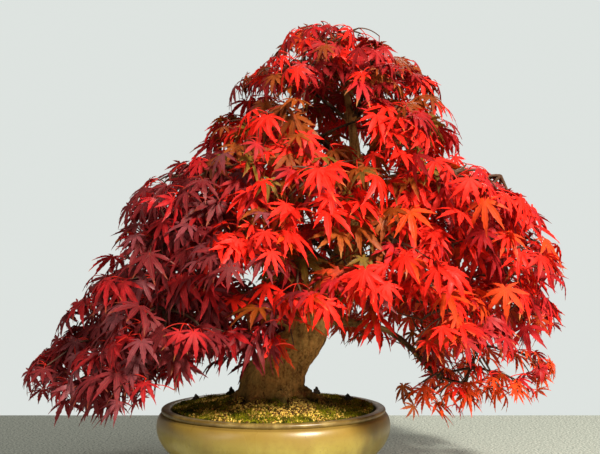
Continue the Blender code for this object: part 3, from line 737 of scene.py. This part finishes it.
def turns(rng, count):
    """Random rotation matrices."""
    first = unit(rng.normal(size=(count, 3)))
    second = rng.normal(size=(count, 3))
    second = unit(second - first * (first * second).sum(1, keepdims=True))
    return np.stack((first, second, np.cross(first, second)), 2)


def grains(rng, places, sizes, tints):
    """Worn stones at these places: points, triangles and a tint for each point."""
    shape, triangles = finer(*GRAIN)
    count = len(places)
    body = shape[None] * rng.uniform(0.72, 1.12, (count, len(shape), 1))
    stretch = rng.uniform((0.9, 0.6, 0.5), (1.6, 0.9, 0.8), (count, 3))
    body = body * (sizes[:, None] * stretch)[:, None]
    body = np.einsum("nij,nvj->nvi", turns(rng, count), body) + places[:, None]
    faces = triangles[None] + (np.arange(count) * len(shape))[:, None, None]
    return body.reshape(-1, 3), faces.reshape(-1, 3), np.repeat(tints, len(shape), 0)


def spread(rng, tree, count, radius, keep):
    """Places on the ground inside the pot's mouth, kept by chance as keep(x, y) says."""
    found = []
    while len(found) < count:
        x, y = rng.uniform(-radius, radius, 2)
        chance = rng.random()
        if math.hypot(x, y) > radius or chance > keep(x, y):
            continue
        hit = tree.ray_cast(Vector((x + POT_X, y, SOIL_TOP + 0.020)), Vector((0, 0, -1)))
        if hit[0] is not None and hit[0].z > POT_HEIGHT - 0.010:
            found.append(tuple(hit[0]))
    return np.array(found)


def patchy(x, y):
    """Where moss and grit come through each other, from about -1 to 1."""
    return noise.noise(Vector((x * PATCH_SCALE, y * PATCH_SCALE, 0.7)))


def grit_share(x, y):
    """Grit lies thick in the middle and in front, and thins out over the moss."""
    reach = math.hypot(x, y + 0.015)
    share = 0.90 - max(0.0, reach - 0.055) / 0.100
    return max(0.15, share + 1.50 * patchy(x, y))


def moss_share(x, y):
    """Moss lies thick towards the lip, and in a few patches near the trunk."""
    reach = math.hypot(x, y + 0.010)
    share = (reach - 0.030) / 0.070
    return max(0.06, share - 1.5 * patchy(x, y))


def painted_crown_shade(points):
    """What the ground's tints are multiplied by: painted shade, darker near the trunk under the
    crown, and painted light, a little lighter further out.
    """
    reach = np.hypot(points[:, 0] - TRUNK_X, points[:, 1])
    return np.interp(reach, (0.045, 0.090), (0.45, 1.12))[:, None]


def layer_tints(points, base, other, seed):
    """A tint for each point, drifting from place to place between two colours."""
    tints = np.empty((len(points), 3))
    for index, point in enumerate(points):
        place = Vector(point) * 60 + Vector((seed, seed, 0))
        share = min(max(0.5 + 1.3 * noise.noise(place), 0), 1)
        tints[index] = np.array(base) * (1 - share) + np.array(other) * share
    return tints


def moss_tufts(rng, places):
    """Short pointed shoots, three-sided and closed, that lean every way."""
    count = len(places)
    height = rng.uniform(0.0016, 0.0042, count)
    width = rng.uniform(0.0005, 0.0010, count)
    lean = rng.normal(scale=0.45, size=(count, 2))
    spin = rng.uniform(0, 2 * math.pi, count)
    points = np.empty((count, 4, 3))
    for corner in range(3):
        turn = spin + corner * 2 * math.pi / 3
        points[:, corner] = places
        points[:, corner, 0] += width * np.cos(turn)
        points[:, corner, 1] += width * np.sin(turn)
        points[:, corner, 2] -= 0.0008
    points[:, 3] = places
    points[:, 3, :2] += lean * height[:, None]
    points[:, 3, 2] += height
    shape = np.array(((0, 1, 3), (1, 2, 3), (2, 0, 3), (2, 1, 0)))
    faces = shape[None] + (np.arange(count) * 4)[:, None, None]
    return points.reshape(-1, 3), faces.reshape(-1, 3)


def build_grit(rng, tree, layer):
    """The grit's bed, strewn with worn grains of three tints."""
    places = spread(rng, tree, GRAIN_COUNT, GROUND_RADIUS, grit_share)
    sizes = rng.uniform(*GRAIN_SIZES, len(places))
    pick = rng.random((len(places), 1))
    tints = np.where(pick < 0.42, STRAW, np.where(pick < 0.70, TAN, BROWN))
    # the grains' tints take the painted shade near the trunk
    tints = tints * rng.uniform(0.6, 1.2, (len(places), 1)) * painted_crown_shade(places)
    stones, faces, stone_tints = grains(rng, places + (0, 0, 0.0002), sizes, tints)
    points, _, triangles = mesh_arrays(layer.data)
    bed = layer_tints(points, *GRIT_BED, 2.0)
    points, triangles = joined(((points, triangles), (stones, faces)))
    tints = {"tint": np.concatenate((bed, stone_tints))}
    grit = mesh_object("grit_grains", points, triangles, grit_finish(), tints)
    placed(grit, "grit_top_dressing")


def build_moss(rng, tree, layer):
    """The moss's cushions, set with short shoots."""
    places = spread(rng, tree, TUFT_COUNT, GROUND_RADIUS, moss_share)
    tufts, faces = moss_tufts(rng, places)
    points, _, triangles = mesh_arrays(layer.data)
    bed = layer_tints(points, *MOSS_BED, 5.0)
    shoots = layer_tints(tufts, *MOSS_SHOOTS, 9.0)
    points, triangles = joined(((points, triangles), (tufts, faces)))
    # the moss's tints take the painted shade near the trunk
    tints = {"tint": np.concatenate((bed, shoots)) * painted_crown_shade(points)}
    moss = mesh_object("moss_cushions", points, triangles, moss_finish(), tints)
    placed(moss, "moss_carpet")


def build_ground():
    rng = np.random.default_rng(11)
    grit_layer = remeshed("grit_layer", "grit_top_dressing", LAYER_VOXEL, 2, None)
    moss_layer = remeshed("moss_layer", "moss_carpet", LAYER_VOXEL, 2, None)
    roughen(grit_layer, 110, 0.0008, 3.0)
    roughen(moss_layer, 75, 0.0022, 8.0)
    tree = surface_tree((grit_layer, moss_layer))
    build_grit(rng, tree, grit_layer)
    build_moss(rng, tree, moss_layer)
    for layer in (grit_layer, moss_layer):
        bpy.data.objects.remove(layer)


def build_cakes():
    finish = cake_finish()
    for number in range(1, 5):
        node = f"fertiliser_cake_{number}"
        cake = remeshed(f"fertiliser_lump_{number}", node, CAKE_VOXEL, 3, finish)
        points, normals, _ = mesh_arrays(cake.data)
        for index, point in enumerate(points):
            place = Vector(point)
            rise = 0.0016 * noise.noise(place * 260) + 0.0008 * noise.noise(place * 700)
            points[index] += normals[index] * rise
        moved(cake.data, points)
        placed(cake, node)


# ---------------------------------------------------------------- wood


def build_wood():
    """The CAD wood with its facets melted and bark raised where it is thick."""
    wood = remeshed("trunk_and_branches", "tree_wood", WOOD_VOXEL, 5, bark_finish())
    points, normals, triangles = mesh_arrays(wood.data)
    tree = BVHTree.FromPolygons(points.tolist(), triangles.tolist())
    girth = np.zeros(len(points))
    for index, (point, normal) in enumerate(zip(points, normals)):
        inward = Vector(-normal)
        hit = tree.ray_cast(Vector(point) + inward * 0.0004, inward, 0.1)
        girth[index] = hit[3] if hit[0] is not None else 0.004
    girth = np.clip(girth, *GIRTH_LIMITS)
    depth = np.clip(girth * 0.055, 0.0, BARK_DEPTH)
    slimming = girth * np.interp(girth, (0.012, 0.026), (0.15, 0.0))
    for index, point in enumerate(points):
        across = Vector((point[0] * 120, point[1] * 120, point[2] * 26))
        knot = noise.noise(Vector(point) * 42)
        ridge = 1 - 2 * abs(noise.noise(across)) + 0.4 * noise.noise(across * 2.3)
        rise = depth[index] * (0.7 * ridge + 0.9 * knot - 0.4)
        points[index] += normals[index] * (rise - slimming[index])
    moved(wood.data, points)
    add_attribute(wood.data, "girth", (girth / GIRTH_UNIT)[:, None])
    placed(wood, "tree_wood")
    return wood


# ---------------------------------------------------------------- leaf blades


def blade_faces():
    """Triangles of one leaf: top and bottom skins that meet along its outline."""
    sinus = 1 + np.arange(LOBES + 1)
    tops = 2 + LOBES + np.arange(LOBES * STATIONS).reshape(LOBES, STATIONS)
    bottoms = tops + LOBES * STATIONS
    first_edge = bottoms.max() + 1
    rights = first_edge + np.arange(LOBES * (STATIONS - 1)).reshape(LOBES, -1)
    lefts = rights + rights.size
    tips = lefts.max() + 1 + np.arange(LOBES)
    made = []
    for lobe in range(LOBES):
        right = [sinus[lobe], *rights[lobe]]
        left = [sinus[lobe + 1], *lefts[lobe]]
        for ribs, order in ((tops[lobe], 1), (bottoms[lobe], -1)):
            skin = [(0, right[0], ribs[0]), (0, ribs[0], left[0])]
            for j in range(STATIONS - 1):
                skin += [(right[j], right[j + 1], ribs[j + 1]), (right[j], ribs[j + 1], ribs[j])]
                skin += [(ribs[j], ribs[j + 1], left[j + 1]), (ribs[j], left[j + 1], left[j])]
            skin += [(right[-1], tips[lobe], ribs[-1]), (ribs[-1], tips[lobe], left[-1])]
            made += [corners[::order] for corners in skin]
    return np.array(made)


BLADE_FACES = blade_faces()


def sinus_points(angle, length, droop, fold):
    """The points between neighbouring lobes, and one behind each of the outermost lobes."""
    count = len(angle)
    outer = np.broadcast_to([OUTER_ANGLE], (count, 1))
    between = (angle[:, 1:] + angle[:, :-1]) / 2
    turn = np.concatenate((-outer, between, outer), 1)
    ends = np.full((count, 1), OUTER_SHARE)
    depth = SINUS_SHARE * (length[:, 1:] + length[:, :-1]) / 2
    reach = np.concatenate((ends, depth, ends), 1)
    high = -droop[:, None] * reach**1.7 + fold[:, None] * (reach * np.sin(0.3))
    return np.stack((-reach * np.sin(turn), reach * np.cos(turn), high), -1)


def skin_lift(number):
    """How far each of a leaf's points is moved up, or down on its underside."""
    lift = np.zeros(number)
    first = 2 + LOBES
    ribs = LOBES * STATIONS
    lift[first : first + ribs] = LEAF_THICKNESS
    lift[first + ribs : first + 2 * ribs] = -LEAF_THICKNESS
    return lift


def blade_marks(count, share, edge_share):
    """How far each point of a leaf lies along its lobe, and how far from its midrib."""
    edges = LOBES * (STATIONS - 1)
    along = [np.zeros((count, 1)), np.full((count, LOBES + 1), SINUS_SHARE)]
    along += [part.reshape(count, -1) for part in (share, share, edge_share, edge_share)]
    along += [np.ones((count, LOBES))]
    across = [np.zeros((count, 1)), np.ones((count, LOBES + 1))]
    across += [np.zeros((count, 2 * LOBES * STATIONS)), np.ones((count, 2 * edges))]
    across += [np.full((count, LOBES), 0.6)]
    return np.concatenate(along, 1), np.concatenate(across, 1)


def blades(rng, base, forward, up, size):
    """Leaves at these stalk ends: their points, and each point's marks for the material."""
    count = len(base)

    def chance(low, high, *shape):
        return rng.uniform(low, high, (count, *shape))

    angle = LOBE_ANGLES + chance(-0.07, 0.07, LOBES)
    length = LOBE_LENGTHS * chance(0.90, 1.08, LOBES)
    droop = chance(0.10, 0.42)
    fold = chance(0.15, 0.55)
    curl = chance(-0.05, 0.45, LOBES)
    sway = chance(-0.16, 0.16, LOBES)

    whole = length[..., None]
    start = LOBE_START * whole
    step = np.arange(STATIONS) / STATIONS
    odd = np.arange(STATIONS) % 2 == 1
    reach = start + (whole - start) * step**0.92
    width = whole * LOBE_WIDTH * (step + 0.22) * (1 - step) ** 1.5
    width = width * (1 + np.where(odd, TOOTH, -TOOTH) * chance(0.5, 1.2, LOBES, 1))
    edge_reach = (reach + np.where(odd, 0.035, -0.01) * whole)[..., 1:]

    def lobe_points(along, aside, past):
        """Points of the lobes from how far they lie out, aside and past the lobe's start."""
        turn = angle[..., None]
        drift = aside + sway[..., None] * past**2
        ahead = along * np.cos(turn) - drift * np.sin(turn)
        side = -along * np.sin(turn) - drift * np.cos(turn)
        far = np.hypot(ahead, side)
        high = -droop[:, None, None] * far**1.7 - curl[..., None] * past**2
        high = high + fold[:, None, None] * np.abs(aside)
        return np.stack((side, ahead, high), -1)

    past = reach - start
    ribs = lobe_points(reach, np.zeros_like(reach), past)
    rights = lobe_points(edge_reach, -width[..., 1:], past[..., 1:])
    lefts = lobe_points(edge_reach, width[..., 1:], past[..., 1:])
    tips = lobe_points(whole * 1.02, np.zeros_like(whole), (whole - start) * 1.02)
    flat = [np.zeros((count, 1, 3)), sinus_points(angle, length, droop, fold)]
    flat += [part.reshape(count, -1, 3) for part in (ribs, ribs, rights, lefts, tips)]
    flat = np.concatenate(flat, 1)

    axes = np.stack((np.cross(forward, up), forward, up), 1)
    points = np.einsum("nvk,nkj->nvj", flat * size[:, None, None], axes)
    points = points + base[:, None] + skin_lift(flat.shape[1])[None, :, None] * up[:, None]
    return points, *blade_marks(count, reach / whole, edge_reach / whole)


# ---------------------------------------------------------------- stalks and twigs


def arcs(start, bend, end, steps):
    """Points on curves from start to end that lean towards bend."""
    t = np.linspace(0, 1, steps + 1)[None, :, None]
    return start[:, None] * (1 - t) ** 2 + 2 * t * (1 - t) * bend[:, None] + end[:, None] * t**2


def tubes(paths, radii, sides):
    """Closed thin tubes round paths, with a radius at each of their points."""
    ahead = unit(np.gradient(paths, axis=1))
    across = unit(np.cross(ahead, np.array((0.31, 0.17, 0.93))))
    over = np.cross(ahead, across)
    turn = 2 * math.pi * np.arange(sides) / sides
    ring = np.cos(turn)[:, None] * across[:, :, None] + np.sin(turn)[:, None] * over[:, :, None]
    points = paths[:, :, None] + radii[:, :, None, None] * ring
    count, rows = paths.shape[:2]
    index = np.arange(rows * sides).reshape(rows, sides)
    after = np.roll(index, -1, 1)
    faces = [
        np.stack((index[:-1], after[:-1], after[1:]), -1).reshape(-1, 3),
        np.stack((index[:-1], after[1:], index[1:]), -1).reshape(-1, 3),
    ]
    fan = [(0, k + 1, k) for k in range(1, sides - 1)]
    last = index[-1, 0]
    fan += [(last, last + k, last + k + 1) for k in range(1, sides - 1)]
    shape = np.concatenate((*faces, np.array(fan)))
    triangles = shape[None] + (np.arange(count) * rows * sides)[:, None, None]
    return points.reshape(-1, 3), triangles.reshape(-1, 3)


# ---------------------------------------------------------------- foliage


def seen(places):
    """Where places appear on the upright plane through the pot's axis, from the view point."""
    away = places - VIEW_POINT
    share = -VIEW_POINT[1] / away[:, 1]
    return VIEW_POINT[[0, 2]] + away[:, [0, 2]] * share[:, None]


def in_outline(places):
    """True if all the places lie between the edges of the crown, as seen from the front."""
    x, z = seen(places).T
    rows = np.array(OUTLINE)[::-1]
    left = np.interp(z, rows[:, 0], rows[:, 1])
    right = np.interp(z, rows[:, 0], rows[:, 2])
    low = np.interp(x, *np.array(LOWER_EDGE).T)
    fits = (left < x) & (x < right) & (low < z) & (z < rows[-1, 0])
    deep = (DEPTH_REACH[0] < places[:, 1]) & (places[:, 1] < DEPTH_REACH[1])
    return bool((fits & deep).all())


def inside(window, places):
    x, z = seen(places).T
    return ((x - window[0]) / window[2]) ** 2 + ((z - window[1]) / window[3]) ** 2 < 1


def in_window(places):
    """True if a front leaf's places cover an opening, or any leaf's the one right through."""
    if inside(THROUGH, places).any():
        return True
    if places[:, 1].mean() > 0.04:
        return False
    return any(inside(window, places[:2]).any() for window in WINDOWS)


def wood_tree(wood):
    points, _, _ = mesh_arrays(wood.data)
    tree = KDTree(len(points))
    for index, point in enumerate(points):
        tree.insert(point, index)
    tree.balance()
    return tree


def hub_of(points, tree):
    """Where the wood comes nearest to a pad."""
    found = min((tree.find(point) for point in points), key=lambda hit: hit[2])
    return np.array(found[0])


def cluster_places(rng, points, triangles, count, spacing):
    """Twig ends spread over the upper skin of a pad, kept apart from each other."""
    a, b, c = (points[triangles[:, k]] for k in range(3))
    normal = np.cross(b - a, c - a)
    area = np.linalg.norm(normal, axis=1)
    weight = area * np.clip(normal[:, 2] / np.maximum(area, 1e-12) + 0.15, 0, 1)
    weight = weight / weight.sum()
    found = []
    for _ in range(count * 30):
        if len(found) == count:
            break
        pick = rng.choice(len(triangles), p=weight)
        u, v = sorted(rng.random(2))
        place = a[pick] * u + b[pick] * (v - u) + c[pick] * (1 - v)
        if all(np.linalg.norm(place - other) > spacing for other in found):
            found.append(place)
    return found


def leaf_colour(rng, place):
    """Maroon on the left, scarlet in the middle and right, darker at the top and the edges."""
    x, y, z = place
    drift = 0.030 * noise.noise(Vector(place) * 11) + rng.normal(scale=0.020)
    bound = np.interp(z, (0.10, 0.24, 0.30, 0.42, 0.58), (0.006, -0.022, -0.075, -0.110, -0.090))
    left = 1 / (1 + math.exp((x + drift - bound) / 0.012))
    away = math.hypot(x - TREE_HEART[0], y + 0.05)
    shade = np.interp(away, (0.08, 0.15), (1, 0)) * np.interp(z, (0.46, 0.52), (1, 0))
    crown = np.interp(z, (0.37, 0.50), (0, 1))
    edge = np.interp(x, (0.12, 0.34), (0.14, 0.62)) * np.interp(z, (0.12, 0.24), (0.25, 1))
    low = np.interp(z, (0.12, 0.26), (0.85, 0.10))
    roll, chance = rng.random(2)
    light = rng.uniform(0.75, 1.15)
    # some front leaves on the left are mauve: painted sheen on maroon leaves
    if roll < left and y < -0.06 and chance < 0.16:
        colour = MAUVE_SHEEN
    elif roll < left:
        colour = MAROON if chance < 0.74 + 0.9 * (0.25 - z) else CRIMSON
    elif roll > 1 - 0.62 * shade:
        colour = RUST if chance < 0.72 else OLIVE
    elif roll > 1 - 0.80 * crown:
        colour = np.array(RUST if chance < 0.30 else CRIMSON) * 0.70
    elif chance < edge:
        colour = CRIMSON
    elif chance < edge + (1 - edge) * low:
        colour = FLAME
    elif chance > 0.96:
        colour = MAROON
    else:
        colour = SCARLET
    return np.array(colour) * light


def darkness(colours):
    """From 0 for bright leaves to nearly 1 for maroon ones."""
    return np.clip(1 - colours[:, :1] / 0.35, 0, 1)


def blade_tints(rng, colours, along, across):
    """Per point: redder margins on dark leaves, and dry tips on some bright ones."""
    dark = darkness(colours)
    margin = np.clip(across * 0.30 + along**3 * 0.45, 0, 1)
    bright = np.array(CRIMSON) * 0.9
    mixed = colours[:, None] + (bright - colours[:, None]) * (dark * margin)[..., None]
    dry = np.clip((along - rng.uniform(0.72, 1.6, (len(colours), 1))) / 0.16, 0, 1)
    dry = dry * (1 - dark)
    return mixed + (np.array(DRY_TIP) - mixed) * dry[..., None] * 0.8


def turned_out(place, hub):
    """The bearing that leaves at a place face: away from the trunk, and a little from the pad."""
    away = place - TREE_HEART
    bearing = math.atan2(away[1], away[0])
    out = place - hub
    if np.linalg.norm(out[:2]) > 0.02:
        local = math.atan2(out[1], out[0])
        gap = (local - bearing + math.pi) % (2 * math.pi) - math.pi
        bearing += 0.45 * gap
    return bearing


def one_leaf(rng, place, bearing, growth):
    """A leaf's stalk end, its forward and upward directions, its size and its main tips."""
    turn = bearing + rng.normal(scale=0.30)
    fall = math.radians(rng.uniform(*LEAF_FALL))
    stalk = rng.uniform(*STALK_LENGTHS)
    size = growth * rng.uniform(*LEAF_SIZES) * np.interp(place[2], (0.35, 0.56), (1, 0.82))
    if place[2] < 0.17:
        size = size * np.interp(place[0], (0.08, 0.16), (1, 0.68))
    level = np.array((math.cos(turn), math.sin(turn), 0))
    base = place + unit(level + (0, 0, rng.uniform(-0.55, 0.45))) * stalk
    forward = level * math.cos(fall) - np.array((0, 0, math.sin(fall)))
    up = level * math.sin(fall) + np.array((0, 0, math.cos(fall)))
    roll = rng.normal(scale=0.32)
    up = up * math.cos(roll) + np.cross(forward, up) * math.sin(roll)
    side = np.cross(forward, up)
    swings = (0, 0.6, -0.6, 1.2, -1.2)
    ways = [forward * math.cos(swing) + side * math.sin(swing) for swing in swings]
    reach = (1, 0.93, 0.93, 0.74, 0.74)
    tips = [base + way * share * size for way, share in zip(ways, reach)]
    return base, forward, up, size, np.array([base + forward * size * 0.5, *tips])


def leaf_sites(rng, hub, twigs, growth=1.0):
    """Two or three leaves at each twig end, where they fit into the tree's outline."""
    sites = []
    for place in twigs:
        if inside(THROUGH, place[None]).any():
            continue
        bearing = turned_out(place, hub)
        low_right = place[0] > LOW_RIGHT[0] and place[2] < LOW_RIGHT[1]
        spreads = THREE_LEAVES if rng.random() < THREE_SHARE else TWO_LEAVES
        for spread_angle in spreads:
            if low_right and rng.random() < LOW_RIGHT_THINNED:
                continue
            for _ in range(LEAF_TRIES):
                turned = bearing + spread_angle
                base, forward, up, size, tips = one_leaf(rng, place, turned, growth)
                if in_outline(tips) and not in_window(tips):
                    sites.append((place, base, forward, up, size))
                    break
    return sites


def twig_paths(rng, hub, twigs):
    """Joins every twig end to the hub through the ends that lie nearer to it."""
    places = [hub, *sorted(twigs, key=lambda place: np.linalg.norm(place - hub))]
    parents = [0]
    for index, place in enumerate(places[1:], 1):
        costs = [
            np.linalg.norm(place - other) + 0.55 * np.linalg.norm(other - hub)
            for other in places[:index]
        ]
        parents.append(int(np.argmin(costs)))
    load = np.ones(len(places))
    for index in range(len(places) - 1, 0, -1):
        load[parents[index]] += load[index]
    start = np.array([places[parent] for parent in parents[1:]])
    end = np.array(places[1:])
    span = np.linalg.norm(end - start, axis=1, keepdims=True)
    bend = (start + end) / 2 + rng.normal(scale=0.10, size=start.shape) * span
    bend[:, 2] += 0.10 * span[:, 0]
    thick = TWIG_RADIUS * load**0.45
    return arcs(start, bend, end, TWIG_STEPS), thick[parents[1:]], thick[1:]


def twig_ends(rng, points, triangles, count, hub):
    """Ends of twigs on a pad's skin, nearly half of them let down under it, and some within."""
    ends = cluster_places(rng, points, triangles, count, TWIG_SPACING)
    for index in np.nonzero(rng.random(len(ends)) < LET_DOWN_SHARE)[0]:
        inward = (TREE_HEART - ends[index]) * (1, 1, 0)
        ends[index] = ends[index] + unit(inward) * rng.uniform(0, 0.020)
        ends[index][2] -= rng.uniform(*LET_DOWN)
    inward = (TREE_HEART - hub) * (1, 1, 0)
    for _ in range(count // 3):
        place = hub + inward * rng.uniform(0.05, 0.62) + rng.normal(scale=0.016, size=3)
        ends.append(place + (0, 0, 0.008))
    return ends


def leaf_part(rng, base, forward, up, size, colours):
    points, along, across = blades(rng, base, forward, up, size)
    tints = blade_tints(rng, colours, along, across)
    count, number = points.shape[:2]
    faces = BLADE_FACES[None] + (np.arange(count) * number)[:, None, None]
    chance = np.repeat(rng.random((count, 1)), number, 1)
    marks = np.stack((along, across, chance), -1)
    return tuple(rows.reshape(-1, 3) for rows in (points, faces, tints, marks))


def plain_part(points, faces, tints):
    """A part with no veins on it."""
    return points, faces, tints, np.tile((0.0, 1.0, 0.5), (len(points), 1))


def stalk_part(start, base, forward, colours):
    span = np.linalg.norm(base - start, axis=1, keepdims=True)
    bend = (start + base) / 2 + np.array((0, 0, 0.22)) * span
    paths = arcs(start, bend, base + forward * 0.0006, STALK_STEPS)
    rings = STALK_STEPS + 1
    radii = np.linspace(*STALK_RADII, rings)[None] * np.ones((len(base), 1))
    tints = np.array(STALK_RED) * (1 - 0.45 * darkness(colours))
    tints = np.repeat(tints, rings * STALK_SIDES, 0)
    return plain_part(*tubes(paths, radii, STALK_SIDES), tints)


def twig_part(rng, hub, ends):
    paths, root, tip = twig_paths(rng, hub, ends)
    share = np.linspace(0, 1, TWIG_STEPS + 1)
    radii = root[:, None] + (tip - root)[:, None] * share[None]
    points, faces = tubes(paths, radii, TWIG_SIDES)
    return plain_part(points, faces, np.tile(TWIG_BROWN, (len(points), 1)))


def spray(rng, name, node, tree, finish, count):
    """One foliage pad as twigs, stalks and leaves."""
    points, _, triangles = mesh_arrays(NODES[node].data)
    hub = hub_of(points, tree)
    ends = twig_ends(rng, points, triangles, count, hub)
    sites = leaf_sites(rng, hub, ends)
    shoots = [np.array(place) for place in FRONT_SHOOTS.get(node, ())]
    sites += leaf_sites(rng, hub, shoots, FRONT_GROWTH)
    start, base, forward, up = (np.array([site[k] for site in sites]) for k in range(4))
    size = np.array([site[4] for site in sites])
    colours = np.array([leaf_colour(rng, place) for place in base])
    parts = (
        leaf_part(rng, base, forward, up, size, colours),
        stalk_part(start, base, forward, colours),
        twig_part(rng, hub, list(np.unique(start, axis=0))),
    )
    points, triangles = joined(parts)
    attributes = {
        "tint": np.concatenate([part[2] for part in parts]),
        "blade": np.concatenate([part[3] for part in parts]),
    }
    placed(mesh_object(name, points, triangles, finish, attributes), node)


def build_foliage(wood):
    finish = leaf_finish()
    tree = wood_tree(wood)
    for number, node in enumerate(sorted(name for name in NODES if name.startswith("foliage"))):
        low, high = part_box(node)
        area = (high.x - low.x) * (high.y - low.y)
        count = int(np.clip(area / TWIG_AREA, *TWIG_COUNTS))
        rng = np.random.default_rng(100 + number)
        spray(rng, node.replace("foliage", "leaves"), node, tree, finish, count)


# ---------------------------------------------------------------- kept CAD pieces


def refinish():
    """Better finishes for the CAD pieces that keep their shape, by the first word of their name."""
    wire = wire_finish()
    finishes = {"soil": soil_finish(), "drain": plastic_finish(), "screen": wire, "anchor": wire}
    for node, piece in NODES.items():
        finish = finishes.get(node.split("_")[0])
        if finish:
            piece.data.materials.clear()
            piece.data.materials.append(finish)


# ---------------------------------------------------------------- stage, light and camera


def build_stage():
    """A pale table that ends behind the pot, in front of an even pale background."""
    bm = bmesh.new()
    size = Matrix.Diagonal((TABLE_WIDTH, TABLE_BACK - TABLE_FRONT, TABLE_THICKNESS, 1))
    middle = Matrix.Translation((0, (TABLE_BACK + TABLE_FRONT) / 2, -TABLE_THICKNESS / 2))
    bmesh.ops.create_cube(bm, size=1, matrix=middle @ size)
    table = linked("table", mesh_of("table", bm), table_finish())


def area_light(name, place, target, size, power, colour):
    light = bpy.data.lights.new(name, "AREA")
    light.shape = "DISK"
    light.size = size
    light.energy = power
    light.color = colour
    obj = bpy.data.objects.new(name, light)
    obj.location = place
    obj.rotation_euler = (Vector(target) - Vector(place)).to_track_quat("-Z", "Y").to_euler()
    bpy.context.scene.collection.objects.link(obj)


def build_light():
    """A warm key light from the front right, and two weaker lights."""
    middle = (0.0, 0.0, 0.28)
    area_light("key", (1.5, -1.9, 1.9), middle, 0.45, 165, (1.0, 0.93, 0.80))
    area_light("fill", (-2.2, -1.6, 1.2), middle, 1.8, 22, (1.0, 0.93, 0.84))
    area_light("back", (0.4, 2.0, 1.8), middle, 1.2, 22, (1.0, 0.95, 0.85))


def build_sky():
    """An even pale backdrop for the camera, and a dimmer, warmer light for everything else."""
    world = bpy.data.worlds.new("studio")
    bpy.context.scene.world = world
    world.use_nodes = True
    tree = world.node_tree
    backdrop = tree.nodes["Background"]
    backdrop.inputs["Color"].default_value = (*BACKGROUND, 1)
    light = tree.nodes.new("ShaderNodeBackground")
    light.inputs["Color"].default_value = (*SKY_LIGHT, 1)
    light.inputs["Strength"].default_value = SKY_STRENGTH
    path = tree.nodes.new("ShaderNodeLightPath")
    mix = tree.nodes.new("ShaderNodeMixShader")
    tree.links.new(path.outputs["Is Camera Ray"], mix.inputs["Fac"])
    tree.links.new(light.outputs["Background"], mix.inputs[1])
    tree.links.new(backdrop.outputs["Background"], mix.inputs[2])
    tree.links.new(mix.outputs[0], tree.nodes["World Output"].inputs["Surface"])
    bpy.context.scene.view_settings.view_transform = "Standard"


def build_camera():
    camera = bpy.data.cameras.new("camera")
    camera.lens = LENS
    camera.sensor_width = SENSOR_WIDTH
    obj = bpy.data.objects.new("camera", camera)
    obj.location = VIEW_POINT
    obj.rotation_euler = (math.radians(90), 0, 0)
    bpy.context.scene.collection.objects.link(obj)
    bpy.context.scene.camera = obj


# ---------------------------------------------------------------- build

build_camera()
build_light()
build_sky()
build_stage()
build_pot()
build_ground()
build_cakes()
WOOD = build_wood()
build_foliage(WOOD)
refinish()
